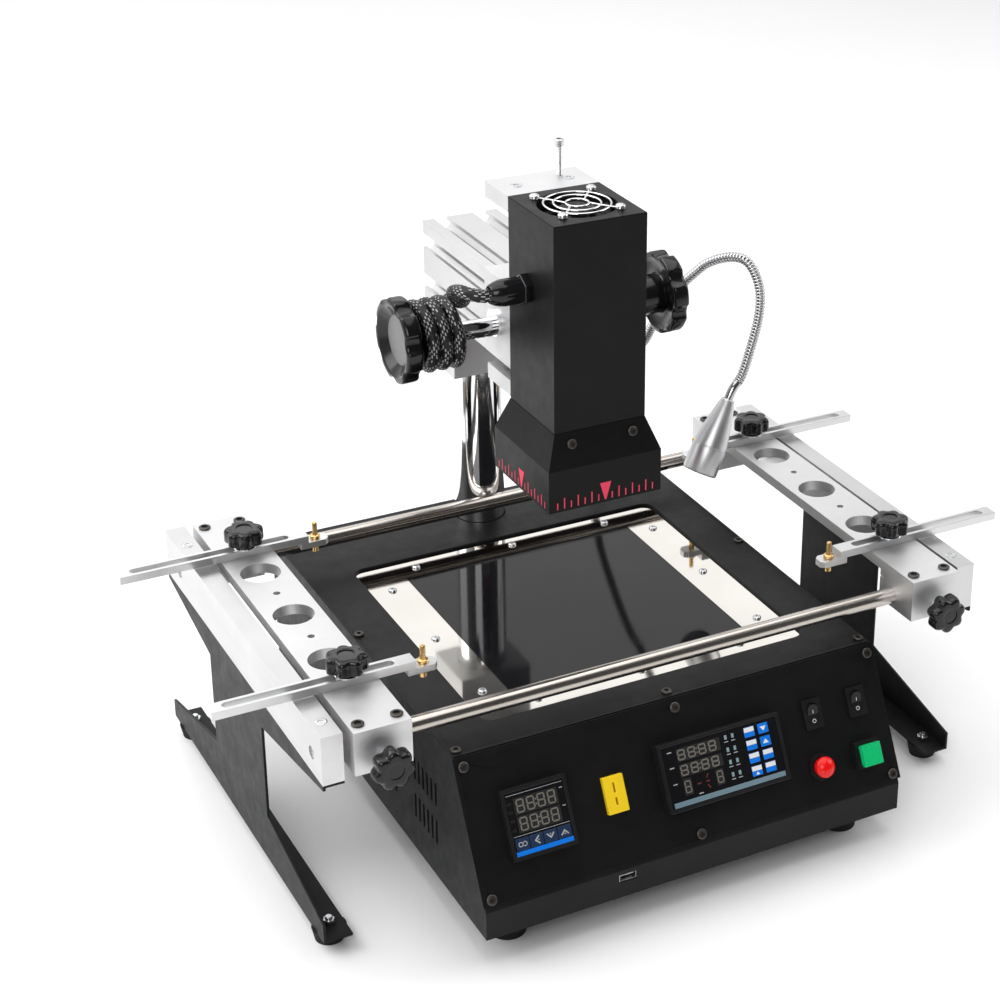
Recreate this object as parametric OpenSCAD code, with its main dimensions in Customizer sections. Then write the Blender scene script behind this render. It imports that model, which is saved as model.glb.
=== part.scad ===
// Bench rework station for ball grid chips.
// A cabinet with a lower heater, a column with a rack and pinion lift for the
// upper heater head, a swan neck lamp, and a free standing board holder.
// X to the right, Y to the back, Z up, in millimetres.
// The floor is z = 0 and the origin lies under the middle of the heater glass.

/* [Cabinet] */
// width of the cabinet
base_w = 329; // [300:1:360]
// heater centre to the front lip
front_reach = 199; // [190:1:220]
// heater centre to the rear wall
back_reach = 197.5; // [195:0.5:215]
// height from the cabinet bottom to the top plate
base_h = 115.5; // [108:0.5:130]
// height of the front lip
lip_h = 26; // [22:0.5:32]
// depth of the sloped panel seen from above
panel_run = 47; // [40:1:54]
// sheet thickness of the cabinet
sheet_t = 1.5; // [1:0.1:2]
// thickness of the top plate
top_t = 2; // [1.5:0.1:3]
// thickness of the control panel
panel_t = 2; // [1.5:0.1:3]
// height of the cabinet feet
base_foot_h = 22; // [16:0.5:28]
// diameter of the cabinet feet
base_foot_d = 30; // [24:1:36]
// width of a side vent slot
vent_w = 3.2; // [2:0.1:4.5]
// pitch of the side vent slots
vent_pitch = 7.3; // [6:0.1:8]
// slots in one vent group
vent_n = 6; // [3:1:7]
// height of the lower vent slots
vent_low_h = 19.5; // [14:0.5:20]
// height of the upper vent slots
vent_high_h = 18.5; // [14:0.5:20]

/* [Heater bed] */
// width of the cut-out in the top plate
cut_w = 257; // [240:1:270]
// depth of the cut-out in the top plate
cut_d = 241; // [230:1:250]
// corner radius of the cut-out
cut_r = 9; // [4:0.5:14]
// width of the heater glass
glass_w = 189; // [170:1:200]
// depth of the heater glass
glass_d = 188; // [170:1:196]
// thickness of the heater glass
glass_t = 4; // [3:0.5:5]
// thickness of the mirror strips
strip_t = 1.5; // [1:0.1:2]
// depth of the heater pan
pan_h = 52; // [40:1:58]
// thickness of a lower heater tile
tile_t = 14; // [8:0.5:20]

/* [Control panel] */
// width and height of the small controller
ctl_s = 48; // [44:0.5:52]
// height the small controller stands out
ctl_s_h = 6; // [4:0.5:9]
// width of the large controller
ctl_l_w = 97; // [88:0.5:100]
// height of the large controller
ctl_l = 48; // [44:0.5:52]
// height the large controller stands out
ctl_l_h = 9; // [5:0.5:11]
// width of a rocker switch frame
rocker_w = 15; // [13:0.5:18]
// length of a rocker switch frame
rocker_l = 21.5; // [19:0.5:24]
// diameter of the round stop button
stop_d = 15; // [12:0.5:17]
// side of the square start button
start_s = 15.6; // [13:0.2:17]
// travel of the push buttons
push = 2.5; // [1.5:0.1:3]

/* [Column and arm] */
// diameter of the column
col_d = 40; // [36:0.5:44]
// heater centre to the column
col_y = 168; // [165:1:176]
// height of the column between top plate and clamp
col_show = 132.5; // [115:0.5:150]
// width of clamp, arm and lift block
arm_w = 62; // [58:0.5:68]
// depth of the column clamp
clamp_d = 54; // [50:1:58]
// height of the column clamp
clamp_h = 48; // [40:1:56]
// length of the slotted arm
arm_len = 113; // [108:1:118]
// height of the slotted arm
arm_h = 64; // [60:0.5:70]
// opening of a slot
slot_w = 11; // [8:0.2:12]
// distance between the two slots of one side
slot_pitch = 32.5; // [31:0.5:34]
// depth of the lift block
lift_d = 43; // [41:0.5:46]

/* [Lift] */
// travel of the head above the drawn position
lift_up = 4; // [2:0.5:6]
// travel of the head below the drawn position
lift_down = 46; // [30:1:48]
// diameter of the lift guide rods
lrod_d = 10; // [8:0.5:11]
// distance between the lift guide rods
lrod_gap = 41; // [39:0.5:44]
// thickness of the lift plates
lplate_t = 12; // [9:0.5:14]
// diameter of the handwheel shaft
shaft_d = 10; // [9:0.5:11]
// tooth module of rack and pinion
tooth_m = 1; // [1:0.05:1.1]
// teeth of the pinion
teeth = 20; // [18:1:22]
// width of the rack
rack_w = 12; // [8:0.5:14]
// diameter of a handwheel
wheel_d = 63; // [58:1:70]
// thickness of a handwheel rim
wheel_t = 13; // [11:0.5:16]
// distance from the middle to a handwheel's inner face
wheel_x = 100; // [98:1:106]
// diameter of a handwheel hub
hub_d = 30; // [26:0.5:32]
// length of a handwheel hub behind the rim
hub_l = 32; // [26:1:34]

/* [Head] */
// side of the square head
head_s = 71.5; // [68:0.5:74]
// height of the head box
head_h = 153; // [148:1:160]
// side of the square skirt
skirt_s = 89; // [84:0.5:94]
// height of the slanted part
flare_h = 24; // [16:1:30]
// height of the straight skirt
skirt_h = 32; // [24:1:38]
// sheet thickness of the head
head_t = 1.5; // [1:0.1:2]
// side of the cooling fan
fan_s = 60; // [56:0.5:62]
// depth of the cooling fan
fan_h = 15; // [12:0.5:20]
// diameter of the cable sleeve
sleeve_d = 9.5; // [8.5:0.5:10]

/* [Lamp] */
// diameter of the swan neck
neck_d = 8; // [6:0.5:9]
// diameter of the lamp rim
lamp_d = 27; // [24:0.5:30]
// length of the lamp
lamp_l = 58; // [50:1:64]

/* [Board holder] */
// diameter of the guide rods
rod_d = 12; // [10:0.5:13]
// clear width between the two side bars
bar_gap = 480; // [470:1:500]
// width of a side bar
bar_w = 15; // [13:0.5:18]
// height of a side bar
bar_h = 36; // [32:0.5:40]
// width of a carriage
car_w = 40; // [36:0.5:44]
// thickness of a carriage plate
car_t = 8; // [6:0.5:10]
// height of a carriage end block
block_h = 24; // [22:0.5:28]
// middle of the board holder to a carriage's middle
car_x = 215.5; // [208:0.5:216]
// diameter of the large plate holes
hole_d = 29; // [22:0.5:32]
// diameter of the small threaded plate holes
tap_d = 5; // [4:0.5:6]
// thickness of the stand sheet
leg_t = 2; // [1.5:0.1:3]
// height of the stand feet
leg_foot_h = 9.4; // [7:0.2:12]
// length of a holding arm
arm_l = 157; // [150:1:170]
// width of a holding arm
hold_w = 12; // [11:0.5:14]
// height of a holding arm
hold_h = 6; // [5:0.5:8]
// diameter of a star knob
knob_d = 29; // [25:0.5:31]
// height of a star knob
knob_h = 14; // [12:0.5:16]
// diameter of the clamp studs
stud_d = 6; // [5:0.5:6]

/* [Hidden] */
// running clearance of sliding and turning fits
run = 0.05;
// clearance of fixed fits
seat = 0.02;
// clearance of loose cut-outs
loose = 0.3;
// facet settings of round shapes
$fn = 48;

// cabinet levels
z_b = base_foot_h;
z_lip = z_b + lip_h;
z_top = z_b + base_h;
z_seat = z_top - top_t;
panel_rise = z_top - z_lip;
panel_a = atan2(panel_rise, panel_run);
panel_l = sqrt(panel_run * panel_run + panel_rise * panel_rise);
panel_w = base_w + 3;
z_lip_in = z_lip - panel_t / cos(panel_a);
y_front = -front_reach;
y_top = y_front + panel_run + panel_t * sin(panel_a) + 0.1;
flange = 14;
vent_y = y_front + 80;
vent_step = 72;
vent_z1 = z_b + 37.2;
vent_z2 = z_b + 67.7;

// heater bed
gx = glass_w / 2;
gy = glass_d / 2;
ox = cut_w / 2 + 6;
oy = cut_d / 2 + 6;
open_x = max(base_w / 2 - flange, ox + loose);
open_y0 = min(y_top + flange, -oy - loose);
open_y1 = max(back_reach - flange, oy + loose);
pan_t = 1.2;
ledge = 6;

// fasteners of the cabinet
screw_d = 4;
screw_head = 7.6;
top_rows = [y_top + 6, (y_top + back_reach) / 2 + 4, back_reach - 7];
top_spots = [for (y = top_rows) for (x = [-1, 0, 1]) if (x != 0 || y == top_rows[0])
    [x * (base_w / 2 - 5), y]];
panel_spots = [for (s = [4.5, panel_l - 7]) for (x = [-1, 0, 1]) [x * (base_w / 2 - 5), s]];
strip_x = (gx + cut_w / 2) / 2;
strip_y = (gy + cut_d / 2) / 2;
strip_spots = concat([for (k = [-1, 0, 1]) for (s = [-1, 1]) [k * gx * 0.86, s * strip_y]],
    [for (k = [-1, 0, 1]) for (s = [-1, 1]) [s * strip_x, k * gy * 0.86]]);

// control panel, each item as x and distance up the slope
mid_s = panel_l / 2 - 2;
ctl_s_x = -(base_w / 2 - 48);
sw_x2 = base_w / 2 - 24.2;
sw_x1 = sw_x2 - 37.1;
ctl_l_x = sw_x1 - 78.2;
tc_x = (ctl_s_x + ctl_s / 2 + ctl_l_x - ctl_l_w / 2) / 2;
tc_w = 15.5;
tc_l = 25.7;
row_hi = panel_l * 0.62;
row_lo = panel_l * 0.242;
rock_shift = 1.8;
key_w = 8.4;
key_l = 15.4;
key_pin = 1.2;
start_rim = 6;
ctl_deep = 58;
rock = 8;
usb_x = tc_x - 0.25;
usb_in = 0.8;
usb_w = 13.2;
usb_h = 5.8;
usb_z = z_b + 12;

// column and arm
z_cl = z_top + col_show;
z_arm = z_cl + clamp_h;
y_arm1 = col_y + clamp_d / 2;
y_arm0 = y_arm1 - arm_len;
y_lift0 = y_arm0 - lift_d;

// lift
pitch_r = tooth_m * teeth / 2;
lrod_y = y_lift0 + 9;
shaft_y = lrod_y + max(lrod_d / 2 + 9, 14);
shaft_z = z_arm + arm_h * 0.44;
rack_y = shaft_y - pitch_r;
z_lp_low = z_arm - lift_up - 0.5;
head_back = y_lift0 - 9.5;
head_cy = head_back - head_s / 2;
z_h0 = z_lp_low - lplate_t - 1.5;
z_h1 = z_h0 + head_h;
z_lp_high = z_h1 - lplate_t;
lplate_w = head_s;
lplate_y1 = shaft_y + 6;
limit_d = 4.4;
limit_x = lrod_gap / 2 - 3.5;
limit_y = lrod_y + lrod_d / 2 + 3;
limit_top = z_h1 + 27;
z_limit = z_arm + arm_h + lift_down + 0.5;
bush_d = shaft_d + 3.4;
wheel_lobes = 7;
wheel_dish = wheel_t - 4;
shaft_end = wheel_x + wheel_dish - 2.5;
bush_flange = 21;
z_skirt1 = z_h0 - flare_h;
z_skirt0 = z_skirt1 - skirt_h;

// fan
fan_hole = fan_s - 4;
fan_pin = 1.5;
fan_bolt = fan_s / 2 - 8;
fan_wire = 1.7;
fan_rings = [9, 17.4, 24.4];
z_fan = z_h1 - head_t - fan_h;

// cable between the head and the lift block
gland_y = head_cy + 6;
gland_z = z_h0 + head_h * 0.62;
gland_l = 29;
gland_d = sleeve_d + 10;
gland_end = -head_s / 2 - gland_l;
coil_r = hub_d / 2 + sleeve_d / 2 + 2.75;
coil_pitch = sleeve_d + 0.3;
coil_n = 3.25;
coil_end = -(wheel_x - sleeve_d / 2 - 0.8);
coil_x = coil_end + coil_pitch * coil_n;
coil_top = shaft_z + coil_r;
inlet_y = y_arm0 - 7;
inlet_z = z_arm + arm_h * 0.27;
lead_route = [
    [gland_end + 8, gland_y, gland_z],
    [gland_end - 0.5, gland_y, gland_z],
    [gland_end - 5, gland_y, gland_z],
    [gland_end - 12, gland_y + 5, gland_z + 1],
    [gland_end - 15, gland_y + 16, gland_z],
    [gland_end - 13, gland_y + 32, gland_z - 7],
    [coil_x - 2, shaft_y - 19, coil_top + 8],
    [coil_x + 0.4, shaft_y - 7, coil_top + 1.2],
    [coil_x, shaft_y - 0.9, coil_top]];
coil_route = [for (k = [0 : coil_n * 16]) [coil_x - coil_pitch * k / 16,
    shaft_y + coil_r * sin(k * 22.5), shaft_z + coil_r * cos(k * 22.5)]];
tail_y = shaft_y + coil_r + sleeve_d;
tail_route = [
    [coil_end + 2, tail_y - 2, shaft_z - 12],
    [coil_end + 10, tail_y + 3, shaft_z - 19],
    [coil_end + 24, tail_y + 2, shaft_z - 20],
    [coil_end + 38, tail_y - 4, shaft_z - 18],
    [-arm_w / 2 - 13, inlet_y + 5, inlet_z - 2],
    [-arm_w / 2 - 6, inlet_y, inlet_z],
    [-arm_w / 2 - 1, inlet_y, inlet_z],
    [-arm_w / 2 + 8, inlet_y, inlet_z]];

// board holder
holder_y = 4;
rod_half = col_y - col_d / 2 - 1.5 - rod_d / 2 - holder_y;
rod_z = z_top + 21.3;
bar_z = rod_z - 15.3;
bar_y = holder_y + 6;
bar_l = 2 * rod_half + 49;
car_l = 2 * rod_half + 52;
block_d = 42;
block_z = rod_z - 9.5;
plate_z = block_z + block_h + seat;
arm_z = plate_z + car_t;
hole_pitch = car_l * 0.209;
tap_pitch = hole_pitch / 2;
stud_y = rod_half - 35.5;
leg_y = bar_y + 15;
leg_l = bar_l;
leg_x = bar_gap / 2 + bar_w;
foot_in = 10.4;
foot_span = 143;

// holding arms, measured from the outer end
stud_u = 94;
tip_l = 16;
tip_u = arm_l - tip_l;
tip_top = 0.4;
tip_low = -4.6;
hold_slot = 6.4;
slot_u0 = 12;
slot_u1 = tip_u - 17;
pin_u = tip_u + 6.8;
pin_r = 2.25;
pin_top = 16;
pin_l = 27;
lock_gap = 7;
washer_d = 18;
washer_t = 1.4;

// lamp
lamp_x = 110;
lamp_y = holder_y + car_l / 2 + 14.5;
lamp_base_h = 14;
lamp_in = 2.2;
neck_route = [
    [0, 0, 3 + run], [0, 0, 14], [0, 0, 22], [2, -8, 58], [8, -24, 96], [14, -40, 126], [19, -51, 140],
    [22, -61, 159], [30, -73, 184], [43, -89, 207], [50, -97, 216], [60, -108, 222],
    [68, -119, 222], [73, -127, 212], [73, -135, 198], [68, -141, 180], [58, -147, 159],
    [49, -151, 142], [40, -153.8, 134], [34.5, -155, 124.5], [32.2, -155.5, 120]];
neck_end = neck_route[len(neck_route) - 2];
lamp_dir = [-26.7, -6, -50.9];

// colours
c_black = [0.09, 0.09, 0.1];
c_paint = [0.07, 0.07, 0.08];
c_chrome = [0.82, 0.82, 0.84];
c_steel = [0.72, 0.73, 0.75];
c_alu = [0.8, 0.81, 0.82];
c_dark = [0.14, 0.14, 0.15];
c_rubber = [0.06, 0.06, 0.06];
c_brass = [0.75, 0.58, 0.26];
c_ceramic = [0.85, 0.83, 0.78];

// rounded rectangle about the origin
module rrect(w, d, r) {
    square([w - 2 * r, d], center = true);
    square([w, d - 2 * r], center = true);
    for (x = [-1, 1]) for (y = [-1, 1]) translate([x * (w / 2 - r), y * (d / 2 - r)]) circle(r);
}

// block centred in x and y on its lower face
module block(w, d, h) {
    translate([-w / 2, -d / 2, 0]) cube([w, d, h]);
}

// children drawn in the y, z plane and run along x
module along_x(l) {
    rotate([90, 0, 90]) linear_extrude(l) children();
}

// frame of the sloped panel: x across, y up the slope, z out of the face
module on_panel(x, s) {
    translate([0, y_front, z_lip]) rotate([panel_a, 0, 0]) translate([x, s, 0]) children();
}

// screw with a low round head, head seat at z = 0
module screw(d, head, l) {
    translate([0, 0, -l]) cylinder(h = l + 0.5, d = d);
    cylinder(h = head * 0.2, d = head);
    translate([0, 0, head * 0.2]) cylinder(h = head * 0.1, d1 = head, d2 = head * 0.7);
}

// swept tubes
function unit(v) = v / norm(v);
function curve(a, b, c, d, t) = 0.5 * (2 * b + (c - a) * t + (2 * a - 5 * b + 4 * c - d) * t * t
    + (3 * b - a - 3 * c + d) * t * t * t);
function smooth(p, n) = let(m = len(p) - 1) concat(
    [for (i = [0 : m - 1]) for (k = [0 : n - 1])
        curve(p[max(i - 1, 0)], p[i], p[i + 1], p[min(i + 2, m)], k / n)], [p[m]]);
function tangents(p) = let(m = len(p) - 1)
    [for (i = [0 : m]) unit(p[min(i + 1, m)] - p[max(i - 1, 0)])];
function sides_of(t, i, n) = i >= len(t) ? [] : let(s = unit(n - (n * t[i]) * t[i]))
    concat([s], sides_of(t, i + 1, s));

module tube(p, r, n, first) {
    t = tangents(p);
    s = sides_of(t, 0, first);
    m = len(p);
    rings = [for (i = [0 : m - 1]) for (k = [0 : n - 1])
        p[i] + r * (cos(360 * k / n) * s[i] + sin(360 * k / n) * cross(t[i], s[i]))];
    skin_a = [for (i = [0 : m - 2]) for (k = [0 : n - 1])
        [i * n + k, (i + 1) * n + k, (i + 1) * n + (k + 1) % n]];
    skin_b = [for (i = [0 : m - 2]) for (k = [0 : n - 1])
        [i * n + k, (i + 1) * n + (k + 1) % n, i * n + (k + 1) % n]];
    cap_a = [[for (k = [0 : n - 1]) k]];
    cap_b = [[for (k = [0 : n - 1]) m * n - 1 - k]];
    polyhedron(rings, concat(skin_a, skin_b, cap_a, cap_b));
}

// involute pinion and its rack
base_r = pitch_r * cos(20);
play = 0.22;
function inv(a) = tan(a) * 180 / PI - a;
function half_tooth(r) = (PI * tooth_m / 2 - play) / 2 / pitch_r * 180 / PI
    + inv(20) - inv(acos(min(1, base_r / r)));
function polar(r, a) = [r * cos(a), r * sin(a)];
flank = [base_r, pitch_r - 0.3 * tooth_m, pitch_r + 0.4 * tooth_m, pitch_r + tooth_m];
root_r = pitch_r - 1.25 * tooth_m;
pinion_outline = [for (i = [0 : teeth - 1]) let(c = 180 + i * 360 / teeth) for (q = [0 : 9])
    q == 0 ? polar(root_r, c - half_tooth(base_r))
    : q < 5 ? polar(flank[q - 1], c - half_tooth(flank[q - 1]))
    : q < 9 ? polar(flank[8 - q], c + half_tooth(flank[8 - q]))
    : polar(root_r, c + half_tooth(base_r))];
rack_half = (PI * tooth_m / 2 - play) / 2;
rack_lo = rack_y - 1.25 * tooth_m;
rack_hi = rack_y + tooth_m;
rack_pitch = PI * tooth_m;
rack_n0 = ceil((z_lp_low + 3 - shaft_z) / rack_pitch);
rack_n1 = floor((z_lp_high - 3 - shaft_z) / rack_pitch) - 1;

// side wall of the cabinet seen from the side, y and z
tray_outline = [[y_front, z_b], [y_front, z_lip_in],
    [y_front + (z_seat - z_lip_in) / tan(panel_a), z_seat],
    [back_reach, z_seat], [back_reach, z_b]];
z_cav = z_lip_in - sheet_t / cos(panel_a);
cavity_outline = [[y_front + sheet_t, z_b + sheet_t],
    [y_front + sheet_t, z_cav + tan(panel_a) * sheet_t],
    [y_front + (z_seat - sheet_t - z_cav) / tan(panel_a), z_seat - sheet_t],
    [back_reach - sheet_t, z_seat - sheet_t],
    [back_reach - sheet_t, z_b + sheet_t]];

module vents() {
    for (g = [0, 1]) for (k = [0 : vent_n - 1]) translate([vent_y + g * vent_step + k * vent_pitch, 0]) {
        translate([0, vent_z1]) rrect(vent_w, vent_low_h, vent_w / 2 - 0.05);
        translate([0, vent_z2]) rrect(vent_w, vent_high_h, vent_w / 2 - 0.05);
    }
}

module base_tray() {
    color(c_paint) difference() {
        translate([-base_w / 2, 0, 0]) along_x(base_w) polygon(tray_outline);
        translate([-base_w / 2 + sheet_t, 0, 0]) along_x(base_w - 2 * sheet_t)
            polygon(cavity_outline);
        on_panel(0, panel_l / 2) translate([0, 0, -panel_t - sheet_t - 3])
            block(base_w - 2 * flange, panel_l - 20, sheet_t + 6);
        translate([-open_x, open_y0, z_seat - sheet_t - 1])
            cube([2 * open_x, open_y1 - open_y0, sheet_t + 2]);
        translate([0, col_y, z_seat - sheet_t - 1]) cylinder(h = sheet_t + 2, d = col_d + 1, $fn = 72);
        translate([-base_w, 0, 0]) along_x(2 * base_w) vents();
        translate([usb_x, y_front, usb_z]) block(usb_w + 0.4, 10, usb_h + 0.4);
        translate([inlet_x, back_reach, inlet_h]) block(inlet_w + 0.6, 10, inlet_d + 0.6);
        for (p = top_spots) translate([p[0], p[1], z_seat - 5]) cylinder(h = 8, d = screw_d + 0.1);
        for (p = panel_spots) on_panel(p[0], p[1]) translate([0, 0, -panel_t - 5])
            cylinder(h = 8, d = screw_d + 0.1);
    }
}

module top_plate() {
    color(c_paint) difference() {
        translate([-base_w / 2, y_top, z_seat]) cube([base_w, back_reach - y_top, top_t]);
        translate([0, 0, z_seat - 1]) linear_extrude(top_t + 2) rrect(cut_w, cut_d, cut_r);
        translate([0, col_y, z_seat - 1]) cylinder(h = top_t + 2, d = col_d + 1, $fn = 72);
        for (p = top_spots) translate([p[0], p[1], z_seat - 1])
            cylinder(h = top_t + 2, d = screw_d + 0.4);
    }
}

module control_panel() {
    color(c_paint) difference() {
        on_panel(0, 0) translate([-panel_w / 2, 0, -panel_t]) cube([panel_w, panel_l, panel_t]);
        on_panel(ctl_s_x, mid_s) translate([0, 0, -panel_t - 1])
            block(ctl_s - 3, ctl_s - 3, panel_t + 2);
        on_panel(ctl_l_x, mid_s) translate([0, 0, -panel_t - 1])
            block(ctl_l_w - 4, ctl_l - 2.5, panel_t + 2);
        on_panel(tc_x, mid_s) translate([0, 0, -panel_t - 1]) block(tc_w - 3, tc_l - 5, panel_t + 2);
        for (x = [sw_x1, sw_x2]) on_panel(x + rock_shift, row_hi) translate([0, 0, -panel_t - 1])
            block(rocker_w - 2, rocker_l - 2, panel_t + 2);
        on_panel(sw_x1, row_lo) translate([0, 0, -panel_t - 1])
            cylinder(h = panel_t + 2, d = stop_d + 1);
        on_panel(sw_x2, row_lo) translate([0, 0, -panel_t - 1])
            block(start_s + 1, start_s + 1, panel_t + 2);
        for (p = panel_spots) on_panel(p[0], p[1]) translate([0, 0, -panel_t - 1])
            cylinder(h = panel_t + 2, d = screw_d + 0.4);
    }
}

module rubber_feet() {
    color(c_rubber) for (x = [-1, 1]) {
        for (y = [y_front + 32, back_reach - 32]) translate([x * (base_w / 2 - 30), y, 0])
            cylinder(h = base_foot_h, d1 = base_foot_d - 4, d2 = base_foot_d);
        for (y = [-1, 1]) translate([x * (leg_x - foot_in), leg_y + y * foot_span, 0])
            cylinder(h = leg_foot_h, d1 = 20, d2 = 24);
    }
}

module cabinet_screws() {
    color(c_steel) {
        for (p = top_spots) translate([p[0], p[1], z_top]) screw(screw_d, screw_head, 7);
        for (p = panel_spots) on_panel(p[0], p[1]) screw(screw_d, screw_head, 7);
        for (p = strip_spots) translate([p[0], p[1], z_seat]) screw(3, 6.4, 5);
    }
}

module reflector_strips() {
    mitre = 0.15;
    color(c_steel) difference() {
        translate([0, 0, z_seat - strip_t]) linear_extrude(strip_t) {
            for (s = [-1, 1]) {
                polygon([[-gx - loose + mitre, s * (gy + loose)], [gx + loose - mitre, s * (gy + loose)],
                    [ox - mitre, s * oy], [mitre - ox, s * oy]]);
                polygon([[s * (gx + loose), -gy - loose], [s * (gx + loose), gy + loose],
                    [s * ox, oy], [s * ox, -oy]]);
            }
        }
        for (p = strip_spots) translate([p[0], p[1], z_seat - strip_t - 1])
            cylinder(h = strip_t + 2, d = 3.3);
    }
}

module glass_plate() {
    color([0.03, 0.03, 0.04]) translate([0, 0, z_seat - glass_t]) block(glass_w, glass_d, glass_t);
}

module heater_pan() {
    z_f = z_seat - strip_t;
    z_g = z_seat - glass_t;
    color(c_steel) difference() {
        union() {
            translate([0, 0, z_f - pan_t]) block(2 * ox, 2 * oy, pan_t);
            translate([0, 0, z_g - pan_t]) block(2 * (gx + loose + pan_t), 2 * (gy + loose + pan_t),
                z_f - z_g + pan_t);
            translate([0, 0, z_seat - pan_h]) block(2 * (gx - ledge + pan_t), 2 * (gy - ledge + pan_t),
                pan_h - glass_t);
        }
        translate([0, 0, z_g]) block(2 * (gx + loose), 2 * (gy + loose), glass_t + 1);
        translate([0, 0, z_seat - pan_h + pan_t]) block(2 * (gx - ledge), 2 * (gy - ledge), pan_h);
        for (p = strip_spots) translate([p[0], p[1], z_f - pan_t - 1]) cylinder(h = 4, d = 3.1);
    }
}

module lower_heater() {
    w = gx - ledge - 1.5;
    d = gy - ledge - 1.5;
    color(c_ceramic) for (x = [-1, 1]) for (y = [-1, 1])
        translate([x * (w / 2 + 1), y * (d / 2 + 1), z_seat - pan_h + pan_t]) block(w, d, tile_t);
}

module controller(w, l, h, bw, bl) {
    difference() {
        union() {
            block(w, l, h);
            translate([0, 0, -ctl_deep]) block(bw, bl, ctl_deep + 1);
        }
        translate([0, 0, h - 0.8]) block(w - 5, l - 5, 2);
    }
}

module lower_controller() {
    color(c_dark) on_panel(ctl_s_x, mid_s) controller(ctl_s, ctl_s, ctl_s_h, ctl_s - 3.5, ctl_s - 3.5);
}

module upper_controller() {
    color(c_dark) on_panel(ctl_l_x, mid_s) controller(ctl_l_w, ctl_l, ctl_l_h, ctl_l_w - 4.5, ctl_l - 3);
}

module thermocouple_socket() {
    color([0.93, 0.78, 0.1]) on_panel(tc_x, mid_s) difference() {
        union() {
            block(tc_w, tc_l, 3.4);
            translate([0, 0, -18]) block(tc_w - 3.4, tc_l - 5.4, 19);
        }
        translate([-0.7, tc_l * 0.05, -4]) cube([1.4, tc_l * 0.26, 9]);
        translate([-0.7, -tc_l * 0.29, -4]) cube([1.4, tc_l * 0.2, 9]);
    }
}

module usb_socket() {
    color(c_steel) translate([usb_x, y_front + usb_in, usb_z + 0.2]) {
        difference() {
            translate([-usb_w / 2, 0, 0]) cube([usb_w, 15, usb_h]);
            translate([-usb_w / 2 + 0.5, -1, 0.5]) cube([usb_w - 1, 14, usb_h - 1]);
        }
        translate([-usb_w / 2 + 1.2, 2, usb_h - 2.6]) cube([usb_w - 2.4, 12, 1.6]);
    }
}

module switch_collars() {
    color(c_black) {
        for (x = [sw_x1, sw_x2]) on_panel(x + rock_shift, row_hi) difference() {
            union() {
                block(rocker_w, rocker_l, 2);
                translate([0, 0, -14]) block(rocker_w - 2.4, rocker_l - 2.4, 15);
            }
            translate([0, 0, -8]) linear_extrude(12) rrect(key_w + 0.5, key_l + 0.8, key_w / 2);
            translate([-key_w / 2 - 1, 0, -1]) rotate([0, 90, 0])
                cylinder(h = key_w + 2, r = key_pin + run, $fn = 32);
        }
        on_panel(sw_x1, row_lo) difference() {
            union() {
                cylinder(h = 2.4, d1 = stop_d + 5, d2 = stop_d + 4);
                translate([0, 0, -14]) cylinder(h = 15, d = stop_d + 0.8);
            }
            translate([0, 0, -push - 6]) cylinder(h = push + 12, d = stop_d - 2 + 2 * run);
        }
        on_panel(sw_x2, row_lo) difference() {
            union() {
                block(start_s + 4, start_s + 4, start_rim);
                translate([0, 0, -14]) block(start_s + 0.8, start_s + 0.8, 15);
            }
            translate([0, 0, -push - 6])
                block(start_s - 2 + 2 * run, start_s - 2 + 2 * run, push + start_rim + 9);
        }
    }
}

inlet_x = base_w / 2 - 60;
inlet_w = 27.4;
inlet_d = 20;
inlet_h = z_b + 22;
inlet_flange = 2.5;

module power_inlet() {
    color(c_black) translate([inlet_x, back_reach, inlet_h + 0.3 + inlet_d / 2]) difference() {
        union() {
            translate([-25, 0, -inlet_d / 2 - 1.5]) cube([50, inlet_flange, inlet_d + 3]);
            translate([-inlet_w / 2, -20, -inlet_d / 2]) cube([inlet_w, 21, inlet_d]);
        }
        translate([-inlet_w / 2 + 1.8, -16, -inlet_d / 2 + 1.8]) cube([inlet_w - 3.6, 20, inlet_d - 3.6]);
    }
    color(c_steel) for (p = [[-7, -2], [0, 2], [7, -2]])
        translate([inlet_x + p[0] - 1, back_reach - 17, inlet_h + 0.3 + inlet_d / 2 + p[1] - 2])
            cube([2, 15, 4]);
}

module rocker() {
    l = key_l / 2;
    translate([0, 0, -1]) rotate([rock, 0, 0]) {
        intersection() {
            translate([-key_w / 2, 0, 0]) along_x(key_w)
                polygon([[0.7 - l, -3], [-l, 2.4], [0.4 - l, 4], [0, 2.9], [l - 0.4, 4],
                    [l, 2.4], [l - 0.7, -3]]);
            translate([0, 0, -5]) linear_extrude(11) rrect(key_w, key_l, key_w / 2 - 0.05);
        }
        translate([-key_w / 2 - 0.75, 0, 0]) rotate([0, 90, 0])
            cylinder(h = key_w + 1.5, r = key_pin, $fn = 32);
    }
}

module light_rocker() {
    color(c_black) on_panel(sw_x1 + rock_shift, row_hi) rocker();
}

module fan_rocker() {
    color(c_black) on_panel(sw_x2 + rock_shift, row_hi) rocker();
}

module stop_button() {
    dome = stop_d * 0.28;
    ball = (stop_d * stop_d / 4 + dome * dome) / 2 / dome;
    color([0.78, 0.08, 0.07]) on_panel(sw_x1, row_lo) {
        translate([0, 0, -5]) cylinder(h = 8, d = stop_d - 2);
        translate([0, 0, push + 2.6]) cylinder(h = 2.4, d = stop_d);
        intersection() {
            translate([0, 0, push + 4.9 + dome - ball]) sphere(ball, $fn = 64);
            translate([0, 0, push + 4.9]) cylinder(h = dome + 1, d = stop_d);
        }
        translate([0, 0, 2.9]) cylinder(h = push - 0.2, d = stop_d - 2);
    }
}

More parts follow.
